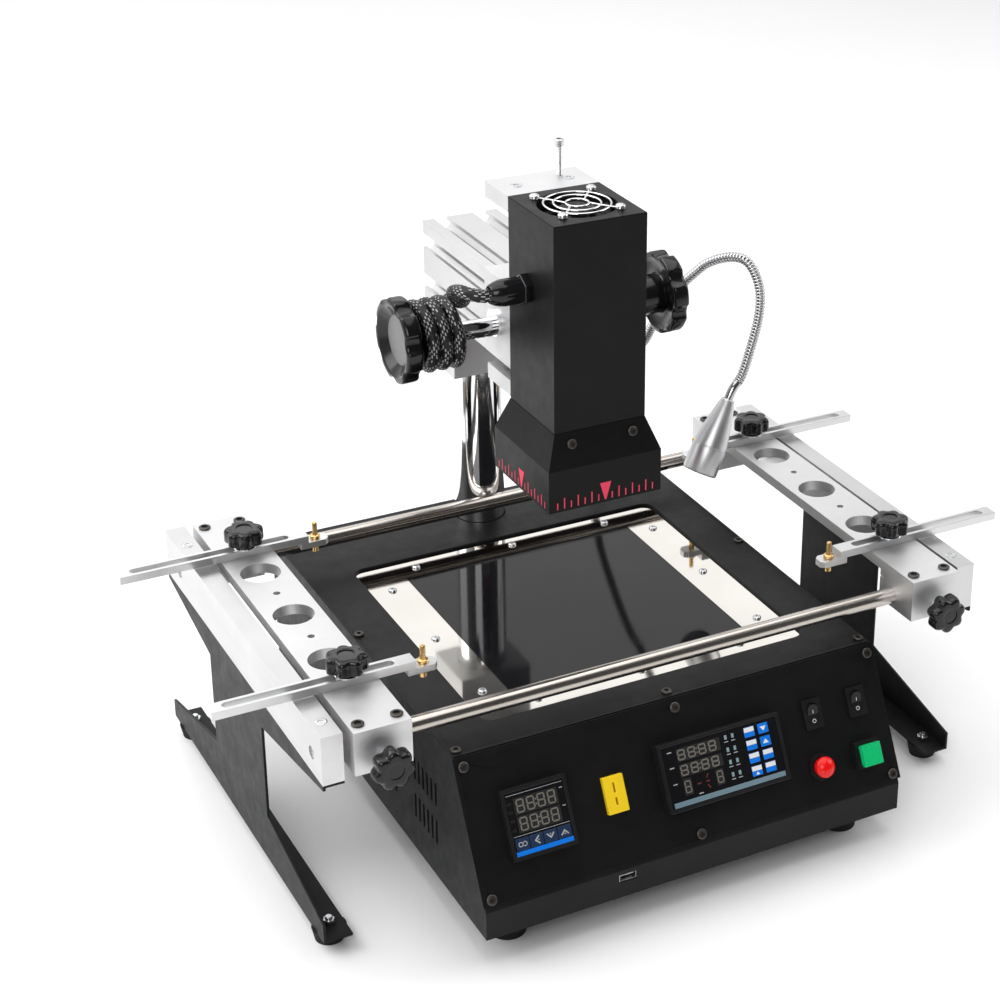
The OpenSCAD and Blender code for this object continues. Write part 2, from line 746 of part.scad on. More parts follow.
module start_button() {
    color([0.12, 0.55, 0.2]) on_panel(sw_x2, row_lo) {
        translate([0, 0, -5]) block(start_s - 2, start_s - 2, push + start_rim + 5.4);
        translate([0, 0, push + start_rim + 0.2]) block(start_s, start_s, 3.4);
    }
}

module column() {
    color(c_chrome) translate([0, col_y, z_b + sheet_t]) difference() {
        cylinder(h = z_arm - 1 - z_b - sheet_t, d = col_d, $fn = 72);
        translate([0, 0, -1]) cylinder(h = z_arm + 2, d = col_d - 6, $fn = 72);
    }
}

module clamp_block() {
    color(c_alu) translate([0, col_y, z_cl]) difference() {
        block(arm_w, clamp_d, clamp_h);
        translate([0, 0, -1]) cylinder(h = clamp_h + 2, d = col_d + 2 * seat, $fn = 72);
    }
}

// one slot opening downwards from the outer face at y = 0
module tslot() {
    translate([-slot_w / 2, -3.2]) square([slot_w, 4]);
    polygon([[-slot_w / 2 - 3, -3], [slot_w / 2 + 3, -3], [slot_w / 2 + 3, -5.5], [slot_w / 2, -9],
        [-slot_w / 2, -9], [-slot_w / 2 - 3, -5.5]]);
}

module arm_extrusion() {
    color(c_alu) translate([0, y_arm1, z_arm + arm_h / 2]) rotate([90, 0, 0]) linear_extrude(arm_len)
        difference() {
            square([arm_w, arm_h], center = true);
            for (s = [-1, 1]) for (k = [-1, 1]) {
                translate([k * slot_pitch / 2, s * arm_h / 2]) scale([1, s]) tslot();
                translate([s * arm_w / 2, k * slot_pitch / 2]) rotate(-90 * s) tslot();
            }
            rrect(20, 20, 3);
        }
}

module lift_block() {
    slide = rack_w / 2 + loose;
    color(c_alu) difference() {
        translate([0, (y_arm0 + y_lift0) / 2, z_arm]) block(arm_w, lift_d, arm_h);
        for (s = [-1, 1]) translate([s * lrod_gap / 2, lrod_y, z_arm - 1])
            cylinder(h = arm_h + 2, d = lrod_d + 2 * run);
        translate([-slide, rack_lo - 7, z_arm - 1]) cube([2 * slide, rack_hi - rack_lo + 7.3, arm_h + 2]);
        translate([-slide, shaft_y, shaft_z]) rotate([0, 90, 0])
            cylinder(h = 2 * slide, r = pitch_r + tooth_m + 1);
        translate([-arm_w, shaft_y, shaft_z]) rotate([0, 90, 0])
            cylinder(h = 2 * arm_w, d = bush_d + 2 * seat);
        translate([-arm_w / 2 - 1, inlet_y, inlet_z]) rotate([0, 90, 0])
            cylinder(h = 14, d = sleeve_d + 0.4);
    }
}

module shaft_bushes() {
    color(c_steel) for (s = [-1, 1]) translate([s * arm_w / 2, shaft_y, shaft_z]) rotate([0, s * 90, 0])
        difference() {
            union() {
                cylinder(h = 3, d = bush_flange);
                translate([0, 0, -arm_w / 2 + rack_w / 2 + 2])
                    cylinder(h = arm_w / 2 - rack_w / 2, d = bush_d);
            }
            translate([0, 0, -arm_w]) cylinder(h = 2 * arm_w, d = shaft_d + 2 * run);
        }
}

module pinion_shaft() {
    color(c_steel) translate([0, shaft_y, shaft_z]) {
        translate([-shaft_end, 0, 0]) rotate([0, 90, 0]) cylinder(h = 2 * shaft_end, d = shaft_d);
        translate([-rack_w / 2, 0, 0]) along_x(rack_w) polygon(pinion_outline);
    }
}

// wheel with its hub towards the arm, axis along z, inner rim face at z = 0
module handwheel() {
    r = wheel_d / 2;
    difference() {
        rotate_extrude($fn = 96) polygon([[0, wheel_dish], [shaft_d / 2 + seat, wheel_dish - 2],
            [shaft_d / 2 + seat, -hub_l], [hub_d / 2 - 1, -hub_l], [hub_d / 2, -hub_l + 1],
            [hub_d / 2, 2.5], [r * 0.78, 2], [r * 0.85, 0], [r - 3, 0], [r, 3], [r, wheel_t - 3],
            [r - 3, wheel_t], [r * 0.83, wheel_t - 0.4], [r * 0.63, wheel_dish], [0, wheel_dish]]);
        for (k = [0 : wheel_lobes - 1]) rotate((k + 0.5) * 360 / wheel_lobes) translate([r + 6.8, 0, -1])
            cylinder(h = wheel_t + 2, r = 10, $fn = 40);
    }
}

module handwheel_left() {
    color(c_black) translate([-wheel_x, shaft_y, shaft_z]) rotate([0, -90, 0]) handwheel();
}

module handwheel_right() {
    color(c_black) translate([wheel_x, shaft_y, shaft_z]) rotate([0, 90, 0]) handwheel();
}

module head_shell() {
    color(c_paint) translate([0, head_cy, z_h0]) difference() {
        block(head_s, head_s, head_h);
        translate([0, 0, -1]) block(head_s - 2 * head_t, head_s - 2 * head_t, head_h - head_t + 1);
        translate([0, 0, head_h - head_t - 1]) cylinder(h = head_t + 2, d = fan_hole, $fn = 72);
        translate([-head_s, gland_y - head_cy, gland_z - z_h0]) rotate([0, 90, 0])
            cylinder(h = head_s, d = sleeve_d + 5 + 2 * seat);
    }
}

module frustum(a, b, z0, z1) {
    polyhedron([[-a, -a, z0], [a, -a, z0], [a, a, z0], [-a, a, z0],
        [-b, -b, z1], [b, -b, z1], [b, b, z1], [-b, b, z1]],
        [[0, 1, 2, 3], [7, 6, 5, 4], [0, 4, 5, 1], [1, 5, 6, 2], [2, 6, 7, 3], [3, 7, 4, 0]]);
}

module head_skirt() {
    a = skirt_s / 2;
    b = head_s / 2;
    color(c_paint) translate([0, head_cy, 0]) difference() {
        union() {
            translate([0, 0, z_skirt0]) block(skirt_s, skirt_s, skirt_h);
            frustum(a, b, z_skirt1, z_h0);
        }
        translate([0, 0, z_skirt0 - 1]) block(skirt_s - 2 * head_t, skirt_s - 2 * head_t, skirt_h + 1.01);
        frustum(a - head_t, b - head_t, z_skirt1, z_h0 + 0.01);
    }
}

module upper_heater() {
    w = skirt_s - 2 * head_t - 0.2;
    color(c_ceramic) translate([0, head_cy, z_skirt0 + 6]) difference() {
        block(w, w, 14);
        for (x = [-1.5, -0.5, 0.5, 1.5]) translate([x * w * 0.235, 0, -1]) block(w * 0.17, w - 8, 5);
    }
}

module fan_frame() {
    color(c_dark) translate([0, head_cy, z_fan]) {
        difference() {
            linear_extrude(fan_h) difference() {
                rrect(fan_s, fan_s, 4);
                circle(d = fan_hole, $fn = 72);
                for (x = [-1, 1]) for (y = [-1, 1]) translate([x * fan_bolt, y * fan_bolt]) circle(d = 4.3);
            }
        }
        for (a = [45, 135]) rotate(a) translate([-fan_hole / 2 - 0.5, -1.5, 0]) cube([fan_hole + 1, 3, 2.4]);
        cylinder(h = 4, d = 24);
        cylinder(h = fan_h - 3, r = fan_pin);
    }
}

module fan_rotor() {
    color(c_black) translate([0, head_cy, z_fan]) difference() {
        union() {
            translate([0, 0, 4.5]) cylinder(h = fan_h - 5.5, d = 25);
            for (k = [0 : 6]) rotate(k * 360 / 7) translate([9, 0, fan_h * 0.55]) rotate([38, 0, 0])
                translate([0, -6, -0.6]) cube([fan_hole / 2 - 11, 12, 1.2]);
        }
        translate([0, 0, 4]) cylinder(h = fan_h - 6.4, r = fan_pin + run);
        translate([0, 0, -fan_h + 3]) cylinder(h = fan_h, d = fan_hole);
    }
}

module fan_guard() {
    reach = fan_bolt * sqrt(2);
    color(c_steel) translate([0, head_cy, z_h1]) linear_extrude(fan_wire) difference() {
        union() {
            for (r = fan_rings) difference() {
                circle(r = r, $fn = 72);
                circle(r = r - fan_wire, $fn = 72);
            }
            for (a = [45 : 90 : 315]) rotate(a) {
                translate([fan_rings[0] - 1, -fan_wire / 2]) square([reach - fan_rings[0] + 1, fan_wire]);
                translate([reach, 0]) circle(d = 7);
            }
        }
        for (a = [45 : 90 : 315]) rotate(a) translate([reach, 0]) circle(d = 3.6);
    }
}

module lift_plate(z, up) {
    difference() {
        translate([-lplate_w / 2, head_back, z]) cube([lplate_w, lplate_y1 - head_back, lplate_t]);
        for (s = [-1, 1]) translate([s * lrod_gap / 2, lrod_y, up ? z - 1 : z + 3])
            cylinder(h = lplate_t - 2, d = lrod_d + 2 * seat);
        if (up) translate([limit_x, limit_y, z - 1]) cylinder(h = lplate_t + 2, d = limit_d + 2 * seat);
    }
}

module lift_plates() {
    color(c_alu) {
        lift_plate(z_lp_high, true);
        lift_plate(z_lp_low - lplate_t, false);
    }
}

module lift_rods() {
    z0 = z_lp_low - lplate_t + 3;
    z1 = z_lp_high + lplate_t - 3;
    color(c_steel) for (s = [-1, 1]) translate([s * lrod_gap / 2, lrod_y, z0])
        cylinder(h = z1 - z0, d = lrod_d);
}

module lift_rack() {
    color(c_steel) translate([-rack_w / 2, 0, 0]) along_x(rack_w) union() {
        translate([rack_lo - 6.5, z_lp_low]) square([6.51, z_lp_high - z_lp_low]);
        for (k = [rack_n0 : rack_n1]) translate([0, shaft_z + (k + 0.5) * rack_pitch])
            polygon([[rack_lo, -rack_half - (rack_y - rack_lo) * tan(20)],
                [rack_hi, -rack_half + (rack_hi - rack_y) * tan(20)],
                [rack_hi, rack_half - (rack_hi - rack_y) * tan(20)],
                [rack_lo, rack_half + (rack_y - rack_lo) * tan(20)]]);
    }
}

module stop_screw() {
    color(c_steel) translate([limit_x, limit_y, 0]) {
        translate([0, 0, z_limit]) cylinder(h = limit_top - z_limit, d = limit_d);
        translate([0, 0, limit_top - 5]) cylinder(h = 5, d = limit_d + 2.6);
    }
}

module cable_gland() {
    color(c_black) translate([-head_s / 2, gland_y, gland_z]) rotate([0, -90, 0]) difference() {
        union() {
            translate([0, 0, -head_t - 4]) cylinder(h = head_t + 5, d = sleeve_d + 5);
            cylinder(h = 6, d = gland_d + 3.5, $fn = 6);
            translate([0, 0, 5.9]) cylinder(h = 14.2, d = gland_d);
            translate([0, 0, 20]) cylinder(h = gland_l - 20, d1 = gland_d, d2 = sleeve_d + 3);
        }
        translate([0, 0, -head_t - 6]) cylinder(h = gland_l + 20, d = sleeve_d + 0.3);
    }
}

module cable_lead() {
    color(c_dark) tube(smooth(lead_route, 3), sleeve_d / 2, 10, [0, 0, 1]);
}

module cable_coil() {
    color(c_dark)
        tube(concat(coil_route, smooth(concat([coil_route[len(coil_route) - 1]], tail_route), 3)),
            sleeve_d / 2, 10, [0, 0, 1]);
}

module lamp_base() {
    color(c_steel) translate([lamp_x, lamp_y, z_top]) difference() {
        union() {
            cylinder(h = 3, d = 16);
            cylinder(h = lamp_base_h, d = neck_d + 5);
        }
        translate([0, 0, 3]) cylinder(h = lamp_base_h, d = neck_d + 2 * run);
    }
}

module lamp_neck() {
    color(c_chrome) translate([lamp_x, lamp_y, z_top]) tube(smooth(neck_route, 3), neck_d / 2, 10, [1, 0, 0]);
}

// lamp with its axis along z, top at the origin, opening downwards
module lamp_shape() {
    r = lamp_d / 2;
    n = neck_d / 2;
    rotate_extrude($fn = 64) polygon([[0, -6], [n + 0.3, -6], [n + 0.3, 2], [n + 1.4, 2], [n + 1.8, 0],
        [r, -lamp_l * 0.62], [r, -lamp_l], [r - 1.4, -lamp_l], [r - 1.4, lamp_in - lamp_l],
        [0, lamp_in - lamp_l]]);
}

module lamp_head() {
    d = unit(lamp_dir);
    tilt = acos(-d[2]);
    turn = atan2(-d[1], -d[0]);
    color(c_alu) translate([lamp_x + neck_end[0], lamp_y + neck_end[1], z_top + neck_end[2]])
        rotate([0, tilt, turn]) lamp_shape();
}

// side sheet of the stand in y and z about the stand's middle
module stand_outline() {
    h = leg_l / 2;
    top = bar_z - leg_t;
    off = bar_y - leg_y;
    polygon([[-h, leg_foot_h], [-h, leg_foot_h + 14.6], [-56, leg_foot_h + 38], [-56, top - 21],
        [off - h, top - 2], [off - h, top], [off + h, top], [off + h, top - 2], [54, top - 21],
        [54, leg_foot_h + 38], [h, leg_foot_h + 14.6], [h, leg_foot_h]]);
}

module stand(s) {
    wide = 2 * foot_in;
    color(c_paint) {
        translate([s > 0 ? leg_x - leg_t : -leg_x, leg_y, 0]) along_x(leg_t) stand_outline();
        translate([s * (leg_x - bar_w / 2), bar_y, bar_z - leg_t]) block(bar_w, bar_l, leg_t);
        translate([s * (leg_x - wide / 2), leg_y, leg_foot_h]) block(wide, leg_l, leg_t);
    }
}

module stand_left() {
    stand(-1);
}

module stand_right() {
    stand(1);
}

module bar(s) {
    color(c_alu) difference() {
        translate([s * (leg_x - bar_w / 2), bar_y, bar_z]) block(bar_w, bar_l, bar_h);
        for (k = [-1, 1]) translate([s * bar_gap / 2, holder_y + k * rod_half, rod_z])
            rotate([0, s * 90, 0]) {
                translate([0, 0, -1]) cylinder(h = 11, d = rod_d + 2 * seat);
                translate([0, 0, bar_w - 4]) cylinder(h = 6, d = 9);
            }
    }
}

module bar_left() {
    bar(-1);
}

module bar_right() {
    bar(1);
}

module guide_rods() {
    color(c_steel) for (k = [-1, 1]) translate([-bar_gap / 2 - 10, holder_y + k * rod_half, rod_z])
        rotate([0, 90, 0]) cylinder(h = bar_gap + 20, d = rod_d, $fn = 64);
}

module carriage(s) {
    color(c_alu) translate([s * car_x, holder_y, 0]) {
        translate([0, 0, plate_z]) difference() {
            block(car_w, car_l, car_t);
            for (k = [-1, 0, 1]) translate([0, k * hole_pitch, -1]) cylinder(h = car_t + 2, d = hole_d);
            for (k = [-1, 1]) {
                translate([0, k * tap_pitch, -1]) cylinder(h = car_t + 2, d = tap_d);
                translate([0, k * stud_y, 1]) cylinder(h = car_t, d = stud_d + 2 * run);
            }
        }
        for (k = [-1, 1]) translate([0, k * (car_l - block_d) / 2, block_z]) difference() {
            block(car_w, block_d, block_h);
            translate([-car_w, k * (rod_half - (car_l - block_d) / 2), rod_z - block_z]) rotate([0, 90, 0])
                cylinder(h = 2 * car_w, d = rod_d + 2 * run, $fn = 64);
            if (k < 0) translate([0, -block_d, rod_z - block_z]) rotate([-90, 0, 0])
                cylinder(h = block_d, d = stud_d + 2 * run);
            translate([-car_w, -k * block_d / 2 - 5, block_h - 6]) cube([2 * car_w, 10, 1.2]);
        }
    }
}

module carriage_left() {
    carriage(-1);
}

module carriage_right() {
    carriage(1);
}

// star knob standing on z = 0, with a stud below
module star(l) {
    difference() {
        union() {
            cylinder(h = 3, d = knob_d * 0.48);
            translate([0, 0, 2.5]) cylinder(h = knob_h - 4, d = knob_d);
            translate([0, 0, knob_h - 1.5]) cylinder(h = 1.5, d1 = knob_d, d2 = knob_d - 3);
        }
        for (k = [0 : 6]) rotate(k * 360 / 7) translate([knob_d / 2 + 2.4, 0, 2])
            cylinder(h = knob_h, r = 5.2);
        translate([0, 0, knob_h - 1]) cylinder(h = 2, d = knob_d * 0.38);
    }
    translate([0, 0, -l]) cylinder(h = l + 1, d = stud_d);
}

module lock_knob(s) {
    reach = car_l / 2 - rod_half - rod_d / 2 - 0.7 + lock_gap;
    color(c_black) translate([s * car_x, holder_y - car_l / 2 - lock_gap, rod_z])
        rotate([90, 0, 0]) star(reach);
}

module lock_knob_left() {
    lock_knob(-1);
}

module lock_knob_right() {
    lock_knob(1);
}

// arm along x with its outer end at x = 0 and its tip towards plus x
module hold_arm() {
    w = hold_w / 2;
    color(c_alu) difference() {
        union() {
            translate([0, -w, 0]) cube([tip_u, hold_w, hold_h]);
            translate([0, 0, tip_low]) linear_extrude(tip_top - tip_low)
                polygon([[tip_u - 6, -w], [arm_l - 3, -w], [arm_l, 3 - w], [arm_l, w - 3], [arm_l - 3, w],
                    [tip_u - 6, w]]);
        }
        translate([slot_u0, -hold_slot / 2, -1]) cube([slot_u1 - slot_u0, hold_slot, hold_h + 2]);
        for (u = [slot_u0, slot_u1]) translate([u, 0, -1]) cylinder(h = hold_h + 2, d = hold_slot);
        translate([pin_u, 0, tip_low - 1]) cylinder(h = tip_top - tip_low + 2, r = pin_r + seat);
    }
    color(c_brass) translate([pin_u, 0, 0]) {
        translate([0, 0, pin_top - pin_l]) cylinder(h = pin_l, r = pin_r);
        translate([0, 0, tip_top + seat]) cylinder(h = 3.4, r = pin_r + 1.75);
    }
}

module arm_at(s, k) {
    translate([s * (car_x + stud_u), holder_y + k * stud_y, arm_z + seat]) rotate(s > 0 ? 180 : 0) hold_arm();
}

module arm_left_front() {
    arm_at(-1, -1);
}

module arm_left_back() {
    arm_at(-1, 1);
}

module arm_right_front() {
    arm_at(1, -1);
}

module arm_right_back() {
    arm_at(1, 1);
}

module clamp_knob(s, k) {
    z = arm_z + hold_h + 2 * seat;
    color(c_black) translate([s * car_x, holder_y + k * stud_y, z + seat + washer_t])
        star(hold_h + car_t - 1);
    color(c_steel) translate([s * car_x, holder_y + k * stud_y, z]) difference() {
        cylinder(h = washer_t, d = washer_d);
        translate([0, 0, -1]) cylinder(h = washer_t + 2, d = stud_d + 2 * seat);
    }
}

module clamp_knob_left_front() {
    clamp_knob(-1, -1);
}

module clamp_knob_left_back() {
    clamp_knob(-1, 1);
}

module clamp_knob_right_front() {
    clamp_knob(1, -1);
}

module clamp_knob_right_back() {
    clamp_knob(1, 1);
}

base_tray();
top_plate();
control_panel();
rubber_feet();
cabinet_screws();
reflector_strips();
glass_plate();
heater_pan();
lower_heater();
lower_controller();
upper_controller();
thermocouple_socket();
usb_socket();
switch_collars();
power_inlet();
light_rocker();
fan_rocker();
stop_button();
start_button();
column();
clamp_block();
arm_extrusion();
lift_block();
shaft_bushes();
pinion_shaft();
handwheel_left();
handwheel_right();
head_shell();
head_skirt();
upper_heater();
fan_frame();
fan_rotor();
fan_guard();
lift_plates();
lift_rods();
lift_rack();
stop_screw();
cable_gland();
cable_lead();
cable_coil();
lamp_base();
lamp_neck();
lamp_head();
stand_left();
stand_right();
bar_left();
bar_right();
guide_rods();
carriage_left();
carriage_right();
lock_knob_left();
lock_knob_right();
arm_left_front();
arm_left_back();
arm_right_front();
arm_right_back();
clamp_knob_left_front();
clamp_knob_left_back();
clamp_knob_right_front();
clamp_knob_right_back();
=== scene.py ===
import math
import bpy
from mathutils import Matrix, Vector


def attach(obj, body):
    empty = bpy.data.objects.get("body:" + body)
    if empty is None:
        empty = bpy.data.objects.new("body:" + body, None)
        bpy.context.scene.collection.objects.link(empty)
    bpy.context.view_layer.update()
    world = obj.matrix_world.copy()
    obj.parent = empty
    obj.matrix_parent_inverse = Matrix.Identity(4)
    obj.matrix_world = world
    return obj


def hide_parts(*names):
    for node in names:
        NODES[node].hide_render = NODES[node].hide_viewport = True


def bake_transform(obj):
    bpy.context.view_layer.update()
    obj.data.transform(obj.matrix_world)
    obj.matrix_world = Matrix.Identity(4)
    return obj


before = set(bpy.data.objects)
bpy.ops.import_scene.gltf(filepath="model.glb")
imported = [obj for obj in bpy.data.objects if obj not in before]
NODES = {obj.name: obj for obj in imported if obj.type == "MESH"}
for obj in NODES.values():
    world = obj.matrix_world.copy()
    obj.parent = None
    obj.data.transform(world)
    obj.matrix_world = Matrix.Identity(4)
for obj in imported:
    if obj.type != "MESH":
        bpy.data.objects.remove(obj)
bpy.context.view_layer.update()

# Pieces are drawn in millimetres in the part's frame and become metres in Shape.done.
MM = 0.001
SIDES = (("left", -1), ("right", 1))
ENDS = (("front", -1), ("back", 1))
CORNERS = [(sx, ky) for sx in (-1, 1) for ky in (-1, 1)]

# ---- camera, fitted to the photograph's square frame

IMAGE_PX, SENSOR_MM, CLIP_END = 1000.0, 36.0, 50.0
CAM_AZ, CAM_EL, CAM_ROLL = math.radians(-30.46), math.radians(24.01), math.radians(1.50)
CAM_AT = Vector((-0.6544, -1.3036, 0.9555))
FOCAL_PX, PP_X, PP_Y = 2224.0, 708.3, 398.0


def make_camera():
    level = math.cos(CAM_EL)
    fwd = Vector((-math.sin(CAM_AZ) * level, math.cos(CAM_AZ) * level, -math.sin(CAM_EL)))
    right = fwd.cross(Vector((0, 0, 1))).normalized()
    up = right.cross(fwd)
    rolled_right = math.cos(CAM_ROLL) * right + math.sin(CAM_ROLL) * up
    rolled_up = -math.sin(CAM_ROLL) * right + math.cos(CAM_ROLL) * up
    data = bpy.data.cameras.new("camera")
    cam = bpy.data.objects.new("camera", data)
    bpy.context.collection.objects.link(cam)
    rot = Matrix((rolled_right, rolled_up, -fwd)).transposed().to_4x4()
    cam.matrix_world = Matrix.Translation(CAM_AT) @ rot
    data.sensor_width = SENSOR_MM
    data.lens = FOCAL_PX / IMAGE_PX * SENSOR_MM
    data.shift_x = (IMAGE_PX / 2 - PP_X) / IMAGE_PX
    data.shift_y = (PP_Y - IMAGE_PX / 2) / IMAGE_PX
    data.clip_end = CLIP_END
    bpy.context.scene.camera = cam


# ---- materials

# noise scales of the clouds in the colour and of the roughness
CLOUD, MOTTLE = 14.0, 84.0
M = {}


def new_mat(name, color, rough, metal=0.0, spec=0.5, coat=0.0, coat_rough=0.1):
    m = bpy.data.materials.new(name)
    m.use_nodes = True
    b = m.node_tree.nodes["Principled BSDF"]
    b.inputs["Base Color"].default_value = (*color, 1.0)
    b.inputs["Roughness"].default_value = rough
    b.inputs["Metallic"].default_value = metal
    b.inputs["Specular IOR Level"].default_value = spec
    b.inputs["Coat Weight"].default_value = coat
    b.inputs["Coat Roughness"].default_value = coat_rough
    return m, m.node_tree, b


def noise(nt, scale, detail=4.0, rough=0.55, stretch=(1, 1, 1)):
    tc = nt.nodes.new("ShaderNodeTexCoord")
    mp = nt.nodes.new("ShaderNodeMapping")
    mp.inputs["Scale"].default_value = stretch
    nz = nt.nodes.new("ShaderNodeTexNoise")
    nz.inputs["Scale"].default_value = scale
    nz.inputs["Detail"].default_value = detail
    nz.inputs["Roughness"].default_value = rough
    nt.links.new(tc.outputs["Object"], mp.inputs["Vector"])
    nt.links.new(mp.outputs["Vector"], nz.inputs["Vector"])
    return nz.outputs["Fac"]


def spread(nt, fac, low, high, f0=0.3, f1=0.7):
    r = nt.nodes.new("ShaderNodeMapRange")
    r.inputs["From Min"].default_value = f0
    r.inputs["From Max"].default_value = f1
    r.inputs["To Min"].default_value = low
    r.inputs["To Max"].default_value = high
    nt.links.new(fac, r.inputs["Value"])
    return r.outputs["Result"]


def tint(nt, fac, a, b):
    mx = nt.nodes.new("ShaderNodeMix")
    mx.data_type = "RGBA"
    mx.inputs["A"].default_value = (*a, 1.0)
    mx.inputs["B"].default_value = (*b, 1.0)
    nt.links.new(fac, mx.inputs["Factor"])
    return mx.outputs["Result"]


def bump(nt, bsdf, fac, strength, dist):
    bp = nt.nodes.new("ShaderNodeBump")
    bp.inputs["Strength"].default_value = strength
    bp.inputs["Distance"].default_value = dist
    nt.links.new(fac, bp.inputs["Height"])
    nt.links.new(bp.outputs["Normal"], bsdf.inputs["Normal"])


def surface(key, name, a, b, rough, metal=0.0, grain=900.0, depth=0.00004, stretch=(1, 1, 1),
            strength=0.25, spec=0.5, coat=0.0, coat_rough=0.1):
    """A finish: colour a to b in soft clouds, a range of roughness, and a fine grain as bump."""
    m, nt, s = new_mat(name, a, sum(rough) / 2, metal, spec, coat, coat_rough)
    big = noise(nt, CLOUD, 5.0)
    nt.links.new(tint(nt, spread(nt, big, 0.0, 1.0), a, b), s.inputs["Base Color"])
    fine = noise(nt, grain, 3.0, 0.6, stretch)
    mid = noise(nt, MOTTLE, 4.0, 0.6, stretch)
    nt.links.new(spread(nt, mid, rough[0], rough[1]), s.inputs["Roughness"])
    bump(nt, s, fine, strength, depth)
    M[key] = m


# paint, plastic and rubber
surface("powder", "powder_black", (0.009, 0.009, 0.010), (0.013, 0.013, 0.014), (0.40, 0.52),
        grain=1500.0, strength=0.22, spec=0.16)
surface("head", "head_black", (0.006, 0.006, 0.0065), (0.009, 0.009, 0.0095), (0.34, 0.44),
        grain=1500.0, strength=0.12, spec=0.12)
surface("panel", "panel_black", (0.006, 0.006, 0.0065), (0.009, 0.009, 0.0095), (0.34, 0.44),
        grain=2400.0, strength=0.1, spec=0.16)
surface("bakelite", "bakelite_black", (0.005, 0.005, 0.006), (0.009, 0.009, 0.010), (0.12, 0.19),
        grain=300.0, strength=0.03, spec=0.35, coat=0.08, coat_rough=0.05)
surface("plastic", "plastic_black", (0.008, 0.008, 0.009), (0.012, 0.012, 0.013), (0.3, 0.42),
        grain=1800.0, strength=0.15, spec=0.3)
surface("rubber", "rubber_black", (0.014, 0.014, 0.014), (0.022, 0.022, 0.021), (0.7, 0.85),
        grain=700.0, strength=0.3, spec=0.2)
# metals
surface("alu", "aluminium_blasted", (0.67, 0.67, 0.675), (0.73, 0.73, 0.735), (0.46, 0.56),
        metal=1.0, grain=2600.0, strength=0.12)
surface("alu_x", "aluminium_drawn_x", (0.68, 0.68, 0.685), (0.75, 0.75, 0.755), (0.32, 0.44),
        metal=1.0, stretch=(0.03, 1, 1), strength=0.12)
surface("alu_y", "aluminium_drawn_y", (0.60, 0.60, 0.60), (0.66, 0.66, 0.66), (0.30, 0.42),
        metal=1.0, stretch=(1, 0.03, 1), strength=0.12)
surface("chrome", "chrome", (0.80, 0.80, 0.81), (0.86, 0.86, 0.87), (0.05, 0.1),
        metal=1.0, grain=400.0, strength=0.02)
surface("neck", "neck_chrome", (0.46, 0.46, 0.47), (0.54, 0.54, 0.55), (0.14, 0.22),
        metal=1.0, strength=0.03)
surface("rod", "rod_nickel", (0.50, 0.46, 0.42), (0.58, 0.54, 0.50), (0.16, 0.26),
        metal=1.0, grain=1200.0, stretch=(0.02, 1, 1), strength=0.06)
surface("steel", "steel_ground", (0.55, 0.55, 0.56), (0.66, 0.66, 0.67), (0.2, 0.34),
        metal=1.0, grain=1200.0, strength=0.1)
surface("zinc", "zinc_plate", (0.60, 0.61, 0.63), (0.70, 0.71, 0.72), (0.18, 0.3),
        metal=1.0, grain=800.0, strength=0.1)
surface("mirror", "mirror_steel", (0.50, 0.482, 0.452), (0.55, 0.532, 0.502), (0.03, 0.06),
        metal=1.0, grain=60.0, strength=0.02, depth=0.0002)
surface("glass", "heater_glass", (0.004, 0.004, 0.005), (0.007, 0.007, 0.008), (0.04, 0.08),
        grain=40.0, strength=0.01, spec=0.12)
surface("black_steel", "black_oxide", (0.065, 0.060, 0.055), (0.10, 0.092, 0.084), (0.34, 0.46),
        metal=0.85, strength=0.12)
surface("brass", "brass", (0.72, 0.46, 0.17), (0.80, 0.54, 0.23), (0.18, 0.3),
        metal=1.0, strength=0.08)
# heater, sockets and buttons
surface("ceramic", "ceramic", (0.70, 0.66, 0.58), (0.78, 0.75, 0.68), (0.6, 0.75),
        grain=500.0, strength=0.3)
surface("yellow", "socket_yellow", (0.90, 0.60, 0.008), (0.94, 0.66, 0.014), (0.32, 0.42),
        grain=1500.0, strength=0.08)
surface("red", "button_red", (0.86, 0.004, 0.003), (0.92, 0.006, 0.004), (0.24, 0.3),
        grain=600.0, strength=0.01, spec=0.4)
surface("green", "button_green", (0.002, 0.50, 0.15), (0.004, 0.56, 0.19), (0.22, 0.32),
        grain=600.0, strength=0.04, coat=0.2)
# prints and displays
surface("mark_red", "mark_red", (0.86, 0.035, 0.10), (0.92, 0.05, 0.12), (0.45, 0.55),
        grain=1500.0, strength=0.05)
surface("dim_red", "mark_dim_red", (0.12, 0.02, 0.012), (0.15, 0.028, 0.018), (0.35, 0.45),
        grain=1500.0, strength=0.05)
surface("mark_white", "mark_white", (0.78, 0.78, 0.77), (0.84, 0.84, 0.83), (0.45, 0.55),
        grain=1500.0, strength=0.05)
surface("mark_grey", "mark_grey", (0.34, 0.35, 0.36), (0.40, 0.41, 0.42), (0.45, 0.55),
        grain=1500.0, strength=0.05)
surface("window", "display_window", (0.005, 0.005, 0.006), (0.008, 0.008, 0.009), (0.10, 0.16),
        grain=200.0, strength=0.01, spec=0.35)
surface("window_grey", "display_field", (0.022, 0.022, 0.022), (0.028, 0.028, 0.027), (0.14, 0.2),
        grain=200.0, strength=0.01, spec=0.35)
surface("segment", "display_segment", (0.15, 0.138, 0.12), (0.19, 0.176, 0.155), (0.3, 0.4),
        strength=0.02)
surface("led", "lamp_grey_blue", (0.20, 0.30, 0.32), (0.26, 0.36, 0.38), (0.2, 0.3),
        strength=0.02)
surface("key_dark", "key_dark_blue", (0.010, 0.026, 0.07), (0.014, 0.034, 0.085), (0.25, 0.35),
        strength=0.04)
